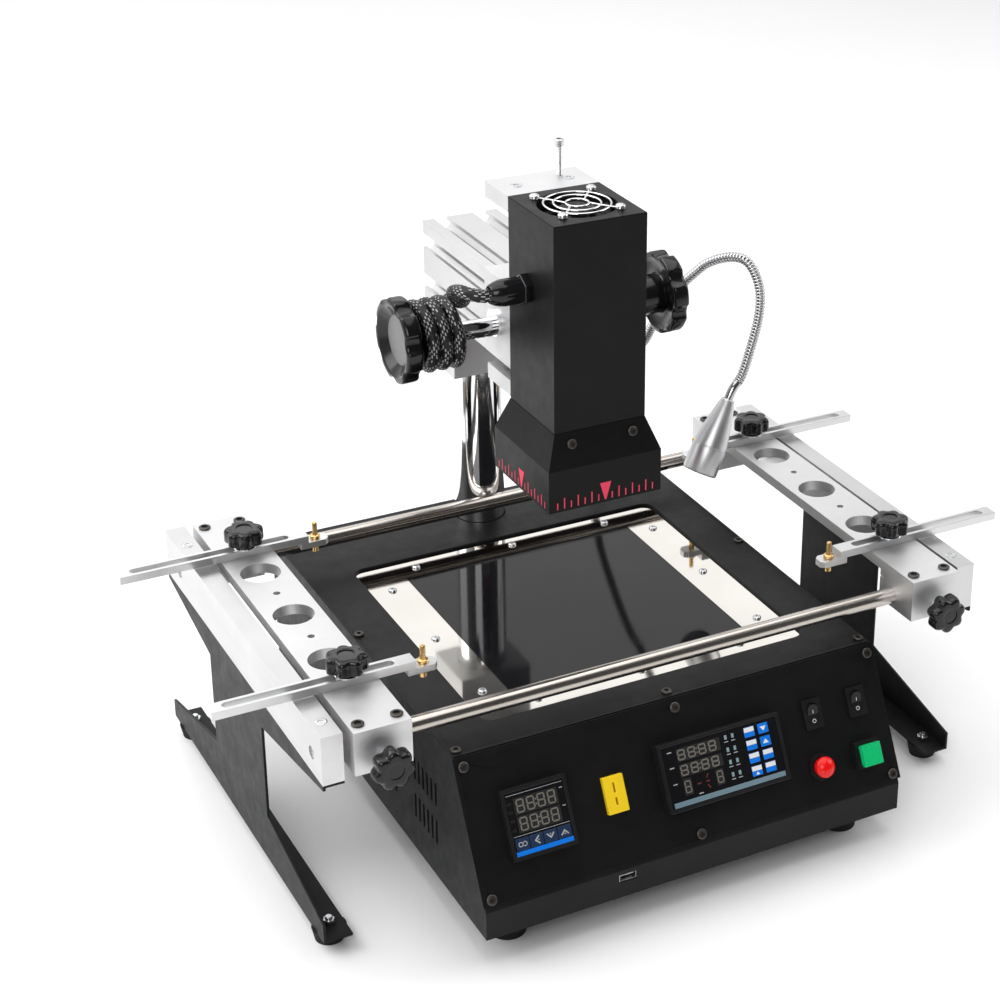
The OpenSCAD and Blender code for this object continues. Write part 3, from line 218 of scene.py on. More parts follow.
surface("key_blue", "key_blue", (0.0, 0.17, 0.72), (0.002, 0.2, 0.8), (0.25, 0.35),
        strength=0.04)
surface("strip_blue", "strip_blue", (0.0, 0.17, 0.72), (0.004, 0.2, 0.8), (0.25, 0.35),
        strength=0.03)
surface("strip_grey", "strip_grey", (0.14, 0.22, 0.27), (0.17, 0.25, 0.30), (0.3, 0.4),
        strength=0.03)
# sleeve, handwheel cap, lamp and socket tongue
surface("sleeve", "sleeve_black", (0.007, 0.007, 0.008), (0.014, 0.014, 0.015), (0.36, 0.5),
        grain=1200.0, strength=0.2, spec=0.3)
surface("fleck", "sleeve_fleck", (0.34, 0.34, 0.345), (0.48, 0.48, 0.485), (0.3, 0.45),
        grain=1200.0, strength=0.1)
surface("cap_grey", "wheel_cap_grey", (0.17, 0.17, 0.173), (0.2, 0.2, 0.203), (0.34, 0.44),
        metal=0.3, grain=1600.0, strength=0.08)
surface("lens", "lamp_lens", (0.82, 0.83, 0.80), (0.88, 0.89, 0.87), (0.1, 0.2),
        grain=300.0, strength=0.2, coat=0.5)
surface("satin", "lamp_satin", (0.62, 0.62, 0.63), (0.70, 0.70, 0.71), (0.34, 0.44),
        metal=1.0, grain=1500.0, stretch=(1, 1, 0.05), strength=0.08)
surface("white_plastic", "white_plastic", (0.75, 0.75, 0.74), (0.8, 0.8, 0.79), (0.35, 0.45),
        strength=0.05)

# ---- mesh helpers

SHARP_ANGLE, WOVEN_ANGLE, BEVEL_SEGMENTS = 38.0, 80.0, 2


def turned(rings, n):
    """Points of rings turned round z, each (radius or function of the angle, z)."""
    verts = []
    for r, z in rings:
        for k in range(n):
            a = 2 * math.pi * k / n
            q = r(a) if callable(r) else r
            verts.append((q * math.cos(a), q * math.sin(a), z))
    return verts


def band(i, j, n):
    """Faces between ring i and ring j, of n points each."""
    return [(i * n + k, i * n + (k + 1) % n, j * n + (k + 1) % n, j * n + k) for k in range(n)]


class Shape:
    """Collects closed solids in millimetres, then becomes one Blender piece."""

    def __init__(self):
        self.v, self.f, self.mi = [], [], []

    def put(self, verts, faces, m=None, mat=0):
        base = len(self.v)
        self.v += [tuple(m @ Vector(p)) if m else tuple(p) for p in verts]
        self.f += [tuple(base + i for i in q) for q in faces]
        self.mi += [mat] * len(faces)

    def lathe(self, rings, n, m, mat=0):
        """Rings from one end to the other, closed by fans."""
        verts = turned(rings, n)
        end = len(rings) - 1
        faces = [q for i in range(end) for q in band(i, i + 1, n)]
        hub = len(verts)
        verts += [(0, 0, rings[0][1]), (0, 0, rings[-1][1])]
        for k in range(n):
            j = (k + 1) % n
            faces += [(hub, j, k), (hub + 1, end * n + k, end * n + j)]
        self.put(verts, faces, m, mat)

    def ringlathe(self, loop, n, m, mat=0):
        """A closed (r, z) loop turned round z."""
        rows = len(loop)
        faces = [q for i in range(rows) for q in band(i, (i + 1) % rows, n)]
        self.put(turned(loop, n), faces, m, mat)

    def prism(self, poly, z0, z1, m=None, mat=0):
        n = len(poly)
        verts = [(x, y, z0) for x, y in poly] + [(x, y, z1) for x, y in poly]
        ends = [tuple(range(n - 1, -1, -1)), tuple(range(n, 2 * n))]
        self.put(verts, ends + band(0, 1, n), m, mat)

    def plate(self, loops, z0, z1, m):
        """Anticlockwise outlines that may share seams, with walls only along the outer edges."""
        pts = sorted({(round(x, 5), round(y, 5)) for loop in loops for x, y in loop})
        num = {p: i for i, p in enumerate(pts)}
        n = len(pts)
        loops = [[num[(round(x, 5), round(y, 5))] for x, y in loop] for loop in loops]
        edges = {(a, b) for loop in loops for a, b in zip(loop, loop[1:] + loop[:1])}
        faces = [tuple(n + i for i in loop) for loop in loops]
        faces += [tuple(reversed(loop)) for loop in loops]
        faces += [(a, b, n + b, n + a) for a, b in sorted(edges) if (b, a) not in edges]
        self.put([(*p, z0) for p in pts] + [(*p, z1) for p in pts], faces, m)

    def box(self, lo, hi, m=None, mat=0):
        outline = [(lo[0], lo[1]), (hi[0], lo[1]), (hi[0], hi[1]), (lo[0], hi[1])]
        self.prism(outline, lo[2], hi[2], m, mat)

    def tube(self, path, radius, n, side=(0, 0, 1), faces_mat=None):
        """A tube along a path; radius and faces_mat may depend on the ring and the point."""
        p = [Vector(q) for q in path]
        last = len(p) - 1
        t = [(p[min(i + 1, last)] - p[max(i - 1, 0)]).normalized() for i in range(last + 1)]
        s = Vector(side)
        verts = []
        for i, c in enumerate(p):
            s = (s - s.dot(t[i]) * t[i]).normalized()
            b = t[i].cross(s)
            for k in range(n):
                a = 2 * math.pi * k / n
                r = radius(i, k) if callable(radius) else radius
                verts.append(c + r * (math.cos(a) * s + math.sin(a) * b))
        faces = [q for i in range(last) for q in band(i, i + 1, n)]
        mats = [faces_mat(i, k) if faces_mat else 0 for i in range(last) for k in range(n)]
        faces += [tuple(range(n - 1, -1, -1)), tuple(last * n + k for k in range(n))]
        start = len(self.mi)
        self.put(verts, faces)
        self.mi[start:] = mats + [0, 0]

    def done(self, name, mats, body, slot, bevel=0.0, angle=SHARP_ANGLE, replaces=()):
        me = bpy.data.meshes.new(name)
        me.from_pydata([tuple(c * MM for c in q) for q in self.v], [], self.f)
        for mt in mats:
            me.materials.append(M[mt])
        me.polygons.foreach_set("material_index", self.mi)
        me.polygons.foreach_set("use_smooth", [True] * len(self.f))
        me.update()
        me.set_sharp_from_angle(angle=math.radians(angle))
        o = bpy.data.objects.new(name, me)
        bpy.context.collection.objects.link(o)
        if bevel:
            md = o.modifiers.new("edge", "BEVEL")
            md.width = bevel * MM
            md.segments = BEVEL_SEGMENTS
            md.limit_method = "ANGLE"
            md.angle_limit = math.radians(angle)
            md.harden_normals = True
        if body:
            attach(o, body)
        if replaces:
            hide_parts(*replaces)
        return o


def at(x, y, z):
    return Matrix.Translation((x, y, z))


def turn(axis, deg):
    return Matrix.Rotation(math.radians(deg), 4, axis)


def hexa(a):
    """Outline of a hexagon of half width a."""
    return lambda t: a / math.cos((t % (math.pi / 3)) - math.pi / 6)


def cross(big, small):
    """Outline of a cross recess with arms of length big and half width small."""
    def f(t):
        d = abs(((t + math.pi / 4) % (math.pi / 2)) - math.pi / 4)
        return min(big, small / max(math.sin(d), 0.2)) if d < 0.6 else small / math.sin(d)
    return f


def catmull(pts, n):
    """A smooth curve through the points, n steps from each to the next."""
    p = [Vector(q) for q in pts]
    out, last = [], len(p) - 1
    for i in range(last):
        a, b, c, d = p[max(i - 1, 0)], p[i], p[i + 1], p[min(i + 2, last)]
        for k in range(n):
            t = k / n
            out.append(0.5 * (2 * b + (c - a) * t + (2 * a - 5 * b + 4 * c - d) * t * t
                              + (3 * b - a - 3 * c + d) * t ** 3))
    out.append(p[last])
    return out


def even(path, step):
    """The path with points an even step apart."""
    length = [0.0]
    for a, b in zip(path, path[1:]):
        length.append(length[-1] + (b - a).length)
    n = max(2, round(length[-1] / step))
    out, j = [], 0
    for i in range(n + 1):
        want = length[-1] * i / n
        while j < len(path) - 2 and length[j + 1] < want:
            j += 1
        span = length[j + 1] - length[j]
        out.append(path[j].lerp(path[j + 1], (want - length[j]) / span if span else 0.0))
    return out


def hex_head(s, m, r, h, key=0.46, deep=None, edge=0.28):
    """A socket head screw of radius r and height h."""
    deep = deep or h * 0.75
    s.lathe([(r * 0.98, -0.4), (r, 0.1), (r, h * (1 - edge)), (r * 0.86, h * 0.97), (r * 0.8, h),
             (r * 0.58, h), (hexa(r * key), h - 0.1), (hexa(r * key * 0.97), h - deep),
             (0.02, h - deep - 0.15)], 36, m)


def cross_head(s, m, r, h):
    """A cross recessed pan head screw of radius r and height h."""
    s.lathe([(r * 0.98, -0.4), (r, 0.05), (r, h * 0.3), (r * 0.9, h * 0.7), (r * 0.7, h * 0.93),
             (r * 0.56, h), (cross(r * 0.5, r * 0.14), h - 0.05),
             (cross(r * 0.4, r * 0.1), h * 0.42), (0.02, h * 0.3)], 48, m)


# ---- sizes repeated from the part's source

Y_FRONT, Z_LIP, RUN, RISE = -199.0, 48.0, 47.0, 89.5
PANEL_A = math.degrees(math.atan2(RISE, RUN))
PANEL_L = math.hypot(RISE, RUN)
PANEL_T = 2
BASE_W, BACK, Z_TOP, Z_SEAT = 329.0, 197.5, 137.5, 135.5
Y_TOP = Y_FRONT + RUN + PANEL_T * math.sin(math.radians(PANEL_A)) + 0.1
MID_S = PANEL_L / 2 - 2
ROW_HI, SW1, SW2 = PANEL_L * 0.62, 105.0, 142.1
HEAD_CY, Z_H0, HEAD_H, HEAD_S = -6.25, 300.0, 153.0, 71.5
Z_H1 = Z_H0 + HEAD_H
ARM_Z, ARM_H, ARM_HALF_W, ARM_Y0 = 318, 64, 31, 82
SHAFT_Y, SHAFT_Z = 62.0, ARM_Z + ARM_H * 0.44
HOLD_Y, CAR_X, PLATE_TOP, ROD_Z, ROD_HALF = 4.0, 215.5, 181.32, 158.8, 136.5
CAR_L, STUD_Y = 325.0, 101.0
LOCK_GAP, HOLD_H = 7.0, 6.0
# from a rod's axis to the tip of its lock screw
LOCK_REACH = 6.8


def panel(x, s, h=0.0):
    """A place on the sloped panel: x across, s up the slope, h above its face."""
    return at(0, Y_FRONT, Z_LIP) @ turn("X", PANEL_A) @ at(x, s, h)


# ---- braided sleeve

GLAND_Y, GLAND_Z, GLAND_L = HEAD_CY + 6, Z_H0 + HEAD_H * 0.62, 29.0
GLAND_END = -HEAD_S / 2 - GLAND_L
SLEEVE_R, COIL_R, COIL_P, COIL_N, COIL_END = 4.75, 22.5, 9.8, 3.25, -94.45
COIL_X, COIL_TOP = COIL_END + COIL_P * COIL_N, SHAFT_Z + COIL_R
COIL_STEPS = 24
TAIL_Y = SHAFT_Y + COIL_R + 2 * SLEEVE_R
INLET_Y, INLET_Z = ARM_Y0 - 7, ARM_Z + ARM_H * 0.27
LEAD = [
    (GLAND_END + 8, GLAND_Y, GLAND_Z),
    (GLAND_END - 0.5, GLAND_Y, GLAND_Z),
    (GLAND_END - 5, GLAND_Y, GLAND_Z),
    (GLAND_END - 12, GLAND_Y + 5, GLAND_Z + 1),
    (GLAND_END - 15, GLAND_Y + 16, GLAND_Z),
    (GLAND_END - 13, GLAND_Y + 32, GLAND_Z - 7),
    (COIL_X - 2, SHAFT_Y - 19, COIL_TOP + 8),
    (COIL_X + 0.4, SHAFT_Y - 7, COIL_TOP + 1.2),
    (COIL_X, SHAFT_Y - 0.9, COIL_TOP)]
COIL = [(COIL_X - COIL_P * k / COIL_STEPS,
         SHAFT_Y + COIL_R * math.sin(k * 2 * math.pi / COIL_STEPS),
         SHAFT_Z + COIL_R * math.cos(k * 2 * math.pi / COIL_STEPS))
        for k in range(int(COIL_N * COIL_STEPS) + 1)]
TAIL = [
    COIL[-1],
    (COIL_END + 2, TAIL_Y - 2, SHAFT_Z - 12),
    (COIL_END + 10, TAIL_Y + 3, SHAFT_Z - 19),
    (COIL_END + 24, TAIL_Y + 2, SHAFT_Z - 20),
    (COIL_END + 38, TAIL_Y - 4, SHAFT_Z - 18),
    (-ARM_HALF_W - 13, INLET_Y + 5, INLET_Z - 2),
    (-ARM_HALF_W - 6, INLET_Y, INLET_Z),
    (-ARM_HALF_W - 1, INLET_Y, INLET_Z),
    (-ARM_HALF_W + 8, INLET_Y, INLET_Z)]
BRAID_STEP, BRAID_STRANDS, STRAND_DIP = 1.0, 32, 0.24


def braid(name, path, body, node):
    """A woven sleeve: strands that go over and under, with pale flecks on one diagonal."""
    def weave(i, k):
        under = ((i + k) % 4 in (0, 3)) + ((i - k) % 4 in (0, 3))
        return SLEEVE_R - 0.05 - STRAND_DIP * under

    def fleck(i, k):
        j = i + 2 * (k // 2 % 2)
        return 1 if k % 2 and j % 4 < 2 and (j // 4 * 7 + k * 5) % 9 < 6 else 0

    s = Shape()
    s.tube(even(path, BRAID_STEP), weave, BRAID_STRANDS, faces_mat=fleck)
    return s.done(name, ["sleeve", "fleck"], body, "sleeve", replaces=(node,), angle=WOVEN_ANGLE)


def sleeve():
    lead = braid("cable_lead_braid", catmull(LEAD, 8), None, "cable_lead")
    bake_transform(lead)
    coil = [Vector(q) for q in COIL[:-1]] + catmull(TAIL, 8)
    braid("cable_coil_braid", coil, "station", "cable_coil")


# ---- finishes and edges of the carried-over nodes

FINISH = {
    "base_tray": "powder", "top_plate": "powder", "control_panel": "panel",
    "rubber_feet": "rubber", "reflector_strips": "mirror", "glass_plate": "glass",
    "heater_pan": "steel", "lower_heater": "ceramic", "lower_controller": "plastic",
    "upper_controller": "plastic", "thermocouple_socket": "yellow", "usb_socket": "zinc",
    "switch_collars": "plastic", "power_inlet": "plastic", "light_rocker": "plastic",
    "fan_rocker": "plastic", "stop_button": "red", "start_button": "green",
    "column": "chrome", "clamp_block": "alu", "arm_extrusion": "alu_y", "lift_block": "alu",
    "shaft_bushes": "chrome", "pinion_shaft": "chrome", "head_shell": "head",
    "head_skirt": "head", "upper_heater": "ceramic", "fan_frame": "plastic",
    "fan_rotor": "plastic", "lift_plates": "alu", "lift_rods": "chrome", "lift_rack": "steel",
    "lamp_base": "chrome", "stand_left": "powder", "stand_right": "powder",
    "bar_left": "alu_y", "bar_right": "alu_y", "guide_rods": "rod",
    "carriage_left": "alu", "carriage_right": "alu",
}
SOFT_EDGE = {
    "base_tray": 0.4, "top_plate": 0.4, "control_panel": 0.4, "lower_controller": 0.5,
    "upper_controller": 0.6, "thermocouple_socket": 0.5, "start_button": 0.3,
    "light_rocker": 0.3, "fan_rocker": 0.3, "clamp_block": 0.5, "arm_extrusion": 0.4,
    "lift_block": 0.5, "head_shell": 0.7, "head_skirt": 0.6, "lift_plates": 0.5,
    "stand_left": 0.4, "stand_right": 0.4, "bar_left": 0.6, "bar_right": 0.6,
    "carriage_left": 0.5, "carriage_right": 0.5, "glass_plate": 0.4, "switch_collars": 0.3,
}
WELD_GAP, EDGE_ANGLE, NORMAL_WEIGHT = 0.000002, 40, 70


def node_finishes():
    for name, finish in FINISH.items():
        o = NODES[name]
        o.data.materials.clear()
        o.data.materials.append(M[finish])
        if name in SOFT_EDGE:
            weld = o.modifiers.new("weld", "WELD")
            weld.merge_threshold = WELD_GAP
            md = o.modifiers.new("edge", "BEVEL")
            md.width = SOFT_EDGE[name] * MM
            md.segments = BEVEL_SEGMENTS
            md.limit_method = "ANGLE"
            md.angle_limit = math.radians(EDGE_ANGLE)
            md.use_clamp_overlap = True
            wn = o.modifiers.new("normals", "WEIGHTED_NORMAL")
            wn.keep_sharp = True
            wn.weight = NORMAL_WEIGHT


# ---- cabinet screws

TOP_ROWS = [Y_TOP + 6, (Y_TOP + BACK) / 2 + 4, BACK - 7]
SIDE_X = BASE_W / 2 - 5
TOP_SPOTS = [(x * SIDE_X, y) for y in TOP_ROWS for x in (-1, 0, 1) if x or y == TOP_ROWS[0]]
PANEL_SPOTS = [(x * SIDE_X, s) for s in (4.5, PANEL_L - 7) for x in (-1, 0, 1)]
# half sizes of the glass, the top plate's cut-out, and the middle lines of the strips
GX, GY, CUT_W, CUT_D = 94.5, 94.0, 257.0, 241.0
SX, SY = (GX + CUT_W / 2) / 2, (GY + CUT_D / 2) / 2
STRIP_SPOTS = [(k * GX * 0.86, s * SY) for k in (-1, 0, 1) for s in (-1, 1)]
STRIP_SPOTS += [(s * SX, k * GY * 0.86) for k in (-1, 0, 1) for s in (-1, 1)]
BUTTON_R, BUTTON_H, BUTTON_KEY = 3.7, 1.9, 0.4
STRIP_R, STRIP_H = 3.2, 1.85


def cabinet_screws():
    """Screws of the cabinet, each turned by another angle, as if tightened by hand."""
    s = Shape()
    for i, (x, y) in enumerate(TOP_SPOTS):
        hex_head(s, at(x, y, Z_TOP) @ turn("Z", 17 * i), BUTTON_R, BUTTON_H, key=BUTTON_KEY)
    for i, (x, q) in enumerate(PANEL_SPOTS):
        hex_head(s, panel(x, q) @ turn("Z", 23 * i), BUTTON_R, BUTTON_H, key=BUTTON_KEY)
    s.done("cabinet_screws_black", ["black_steel"], "station", "plated_screw",
           replaces=("cabinet_screws",))
    s = Shape()
    for i, (x, y) in enumerate(STRIP_SPOTS):
        cross_head(s, at(x, y, Z_SEAT) @ turn("Z", 31 * i), STRIP_R, STRIP_H)
    s.done("strip_screws_zinc", ["zinc"], "station", "plated_screw", replaces=("cabinet_screws",))


# ---- star knobs and handwheels

STAR_R, STAR_LOBE, STAR_N, STAR_H = 11.75, 2.7, 7, 14.0
STUD_R = 3.0
KNOB_Z, WASHER_Z = PLATE_TOP + HOLD_H + 1.46, PLATE_TOP + HOLD_H + 0.04
WHEEL_R, WHEEL_T, WHEEL_X, HUB_R, HUB_L = 31.5, 13.0, 100.0, 15.0, 32.0
WHEEL_N, GROOVE_AT, GROOVE_R, DISH, BORE_R = 7, WHEEL_R + 6.8, 10.0, 6.0, 5.02


def lobed(e):
    """Outline of the handwheel, shrunk by e: a disc with round finger grooves."""
    step = 2 * math.pi / WHEEL_N

    def f(a):
        d = (a + step / 2) % step
        d = min(d, step - d)
        side = GROOVE_AT * math.sin(d)
        if side >= GROOVE_R:
            return WHEEL_R - e
        groove = GROOVE_AT * math.cos(d) - math.sqrt(GROOVE_R * GROOVE_R - side * side)
        return min(WHEEL_R - e, groove - 0.7 * e)
    return f


def star(s, m):
    """A star knob on its foot at the origin of m."""
    def f(e):
        return lambda a: (STAR_R - 0.7 * e + (STAR_LOBE - 0.3 * e)
                          * (0.5 + 0.5 * math.cos(STAR_N * a)) ** 0.75)

    h = STAR_H
    s.lathe([(6.4, 0.0), (6.9, 0.4), (6.9, 2.5), (f(1.2), 2.55), (f(0.35), 3.0), (f(0.0), 3.9),
             (f(0.0), h - 3.6), (f(0.3), h - 2.4), (f(1.1), h - 1.2), (f(2.3), h - 0.5),
             (f(3.6), h - 0.2), (8.0, h - 0.05), (6.3, h - 0.05), (5.6, h - 0.25),
             (5.45, h - 0.85), (2.0, h - 0.75), (0.02, h - 0.75)], 140, m)


def star_knobs():
    for side, sx in SIDES:
        for end, ky in ENDS:
            s = Shape()
            x, y = sx * CAR_X, HOLD_Y + ky * STUD_Y
            star(s, at(x, y, KNOB_Z) @ turn("Z", 20 + 31 * (sx + 2 * ky)))
            s.lathe([(STUD_R, -12.8), (STUD_R, 0.4)], 24, at(x, y, KNOB_Z), 1)
            s.ringlathe([(3.1, 0), (8.7, 0), (9.0, 0.25), (9.0, 1.1), (8.7, 1.4), (3.1, 1.4)],
                        40, at(x, y, WASHER_Z), 1)
            s.done("clamp_star_%s_%s" % (side, end), ["bakelite", "zinc"],
                   "clamp_%s_%s" % (side, end), "black_plastic",
                   replaces=("clamp_knob_%s_%s" % (side, end),))
        s = Shape()
        base = at(sx * CAR_X, HOLD_Y - CAR_L / 2 - LOCK_GAP, ROD_Z) @ turn("X", 90)
        star(s, base @ turn("Z", 11 * sx))
        tip = -(CAR_L / 2 - ROD_HALF - LOCK_REACH + LOCK_GAP)
        thread = [(2.95 - 0.25 * (k % 2), -LOCK_GAP + 0.5 * k) for k in range(15)]
        s.lathe([(2.7, tip), (STUD_R, tip + 0.4), (STUD_R, -LOCK_GAP - 1)] + thread, 24, base, 1)
        s.done("lock_star_" + side, ["bakelite", "zinc"], "lock_" + side, "black_plastic",
               replaces=("lock_knob_" + side,))


def handwheels():
    f, t, r, floor_z = lobed, WHEEL_T, HUB_R, WHEEL_T - DISH
    loop = [(BORE_R, -HUB_L), (r - 1, -HUB_L), (r - 0.3, 0.3 - HUB_L), (r, 1 - HUB_L), (r, 1.4),
            (r + 0.7, 2.2), (r + 2.4, 2.45), (23.2, 2.1), (25.2, 1.3), (26.8, 0.2), (27.4, 0.0),
            (f(3.0), 0.05), (f(1.2), 0.5), (f(0.25), 1.6), (f(0.0), 3.0), (f(0.0), t - 3.0),
            (f(0.3), t - 1.7), (f(1.3), t - 0.6), (f(3.0), t - 0.1), (26.9, t - 0.15),
            (26.0, t - 0.5), (25.2, t - 1.1), (19.2, t - 5.6), (18.7, floor_z),
            (0.05, floor_z), (0.05, floor_z - 0.45), (BORE_R, floor_z - 0.45)]
    cap = [(18.0, -0.1), (18.2, 0.1), (18.2, 0.5), (17.8, 0.75), (17.1, 0.8), (6.0, 0.85),
           (0.02, 0.85)]
    for side, sx in SIDES:
        s = Shape()
        out = turn("Y", 90 * sx)
        s.ringlathe(loop, 168, at(sx * WHEEL_X, SHAFT_Y, SHAFT_Z) @ out)
        s.lathe(cap, 96, at(sx * (WHEEL_X + floor_z), SHAFT_Y, SHAFT_Z) @ out, 1)
        s.done("handwheel_rim_" + side, ["bakelite", "cap_grey"], "handwheels", "black_plastic",
               replaces=("handwheel_" + side,))


# ---- swan neck lamp

LAMP = (110.0, 181.0, 137.5)
LAMP_DIR = Vector((-26.7, -6.0, -50.9)).normalized()
NECK = [
    (0, 0, 3.05), (0, 0, 14), (0, 0, 22), (2, -8, 58), (8, -24, 96), (14, -40, 126),
    (19, -51, 140), (22, -61, 159), (30, -73, 184), (43, -89, 207), (50, -97, 216),
    (60, -108, 222), (68, -119, 222), (73, -127, 212), (73, -135, 198), (68, -141, 180),
    (58, -147, 159), (49, -151, 142), (40, -153.8, 134), (34.5, -155, 124.5),
    (32.2, -155.5, 120)]
NECK_STEP, NECK_PLAIN, NECK_PLAIN_R = 0.62, 36, 3.6
NECK_COIL_R = (3.98, 3.9, 3.15, 3.9)


def lamp():
    route = [tuple(a + b for a, b in zip(LAMP, q)) for q in NECK]
    path = even(catmull(route, 10), NECK_STEP)
    plain = len(path) - NECK_PLAIN

    def coil(i, k):
        return NECK_PLAIN_R if i > plain else NECK_COIL_R[i % 4]

    s = Shape()
    s.tube(path, coil, 16, side=(1, 0, 0))
    s.done("lamp_neck_coil", ["neck"], "lamp", "chrome_bar", replaces=("lamp_neck",),
           angle=WOVEN_ANGLE)

    aim = Vector((0, 0, -1)).rotation_difference(LAMP_DIR).to_matrix().to_4x4()
    m = at(*(Vector(LAMP) + Vector(NECK[-2]))) @ aim
    s = Shape()
    s.ringlathe([(4.3, -5.8), (4.3, 2.0), (5.0, 2.0), (5.4, 1.6), (5.8, 0.0), (7.0, -4.2),
                 (8.6, -11.0), (10.4, -19.5), (12.0, -27.5), (12.9, -33.0), (13.3, -35.6),
                 (13.35, -35.9), (12.5, -36.1), (12.5, -37.1), (13.45, -37.3), (13.5, -37.7),
                 (13.5, -56.4), (13.2, -57.6), (12.7, -58.0), (12.25, -57.8), (12.15, -56.0),
                 (12.1, -55.4), (4.3, -55.3)], 64, m)
    s.ringlathe([(12.08, -55.5), (11.9, -56.1), (10.5, -56.6), (6.0, -57.1), (0.05, -57.3),
                 (0.05, -55.5)], 64, m, 1)
    s.done("lamp_shade", ["satin", "lens"], "lamp", "bare_aluminium", replaces=("lamp_head",))


# ---- fan guard and fan screws

FAN_BOLT = 22 * math.sqrt(2)
GUARD_RINGS, GUARD_WIRE, GUARD_Z = (23.55, 16.55, 8.15), 0.84, 0.86
SPOKE_WIRE, SPOKE_BEND = 0.8, 20


def spoke_point(r, a, z):
    return (r * math.cos(a), HEAD_CY + r * math.sin(a), Z_H1 + z)


def fan():
    wire = [k * math.pi / 5 for k in range(10)]
    quarter = [math.radians(45 + 90 * k) for k in range(4)]
    s = Shape()
    for r in GUARD_RINGS:
        s.ringlathe([(r + GUARD_WIRE * math.cos(a), Z_H1 + GUARD_Z + GUARD_WIRE * math.sin(a))
                     for a in wire], 64, at(0, HEAD_CY, 0))
    for k, a in enumerate(quarter):
        bend = math.radians(SPOKE_BEND if k % 2 else -SPOKE_BEND)
        pts = [spoke_point(FAN_BOLT, a, 0.82), spoke_point(25, a, 0.84),
               spoke_point(16, a + bend * 0.2, GUARD_Z),
               spoke_point(GUARD_RINGS[-1], a + bend, GUARD_Z)]
        s.tube(catmull(pts, 6), SPOKE_WIRE, 10)
        s.ringlathe([(1.8, 0.0), (3.3, 0.0), (3.5, 0.4), (3.5, 1.2), (3.3, 1.6), (1.8, 1.6)],
                    28, at(pts[0][0], pts[0][1], Z_H1 + 0.02))
    s.done("fan_guard_wire", ["chrome"], "lift_head", "plated_screw", replaces=("fan_guard",))
    s = Shape()
    for a in quarter:
        s.lathe([(1.7, -3.0), (1.7, 0.0), (3.5, 0.0), (3.7, 0.3), (3.62, 0.9), (3.2, 1.55),
                 (2.4, 2.05), (1.4, 2.3), (0.02, 2.38)], 36, at(*spoke_point(FAN_BOLT, a, 1.64)))
    s.done("fan_screws", ["zinc"], "lift_head", "plated_screw")


# ---- cable gland

def gland():
    def ribs(r, d):
        return lambda a: r - d * (0.5 + 0.5 * math.cos(12 * a)) ** 3

    s = Shape()
    s.ringlathe([(4.95, -5.4), (7.2, -5.4), (7.2, -0.1), (hexa(9.6), 0.0), (hexa(9.9), 0.5),
                 (hexa(9.9), 5.4), (hexa(9.5), 5.9), (9.1, 6.0), (9.1, 7.0),
                 (ribs(9.7, 0.35), 7.3), (ribs(9.7, 0.35), 19.0), (9.6, 20.2), (9.2, 22.2),
                 (8.5, 24.6), (7.6, 26.8), (6.8, 28.3), (6.2, 28.95), (5.5, 29.0),
                 (4.95, 28.6)], 96, at(-HEAD_S / 2, GLAND_Y, GLAND_Z) @ turn("Y", -90))
    s.done("cable_gland_nut", ["bakelite"], "lift_head", "black_plastic",
           replaces=("cable_gland",))


# ---- head: tick scales and flare screws

SKIRT_HALF, SKIRT_Z = 44.5, 244.0
TICK_N, TICK_PITCH, TICK_HALF, TICK_LONG, TICK_SHORT = 7, 5.4, 0.45, 8.4, 5.2
TICK_PROUD, TICK_SUNK = 0.06, 0.2
FLARE_A = math.degrees(math.atan2(8.75, 24.0))
FLARE_SCREW_X, FLARE_SCREW_OUT, FLARE_SCREW_Z = 24.0, 38.7, 292.0


def head_marks():
    s = Shape()
    foot = SKIRT_Z + 2.0
    pointer = [(-0.6, SKIRT_Z + 2.2), (0.6, SKIRT_Z + 2.2), (4.4, SKIRT_Z + 15.6),
               (-4.4, SKIRT_Z + 15.6)]
    for face in range(4):
        m = at(0, HEAD_CY, 0) @ turn("Z", 90 * face)
        for k in range(-TICK_N, TICK_N + 1):
            if k == 0:
                continue
            x, tall = k * TICK_PITCH, TICK_LONG if k % 2 == 0 else TICK_SHORT
            s.box((x - TICK_HALF, -SKIRT_HALF - TICK_PROUD, foot),
                  (x + TICK_HALF, -SKIRT_HALF + TICK_SUNK, foot + tall), m)
        s.prism(pointer, -TICK_PROUD, TICK_SUNK, m @ at(0, -SKIRT_HALF, 0) @ turn("X", 90))
    s.done("skirt_ticks", ["mark_red"], "lift_head", "red_plastic")
    s = Shape()
    for x in (-FLARE_SCREW_X, FLARE_SCREW_X):
        place = at(x, HEAD_CY - FLARE_SCREW_OUT, FLARE_SCREW_Z)
        hex_head(s, place @ turn("X", 90 - FLARE_A), 3.6, 1.9)
    s.done("flare_screws", ["black_steel"], "lift_head", "plated_screw")


# ---- lift plate screws

LROD_X, LROD_Y = 20.5, 48.0
STOP_X, STOP_Y, STOP_FOOT, STOP_NECK = 17.0, 56.0, 428.5, 475.2
STOP_R, THREAD_DIP, THREAD_STEP, THREAD_N = 2.2, 0.22, 0.42, 110


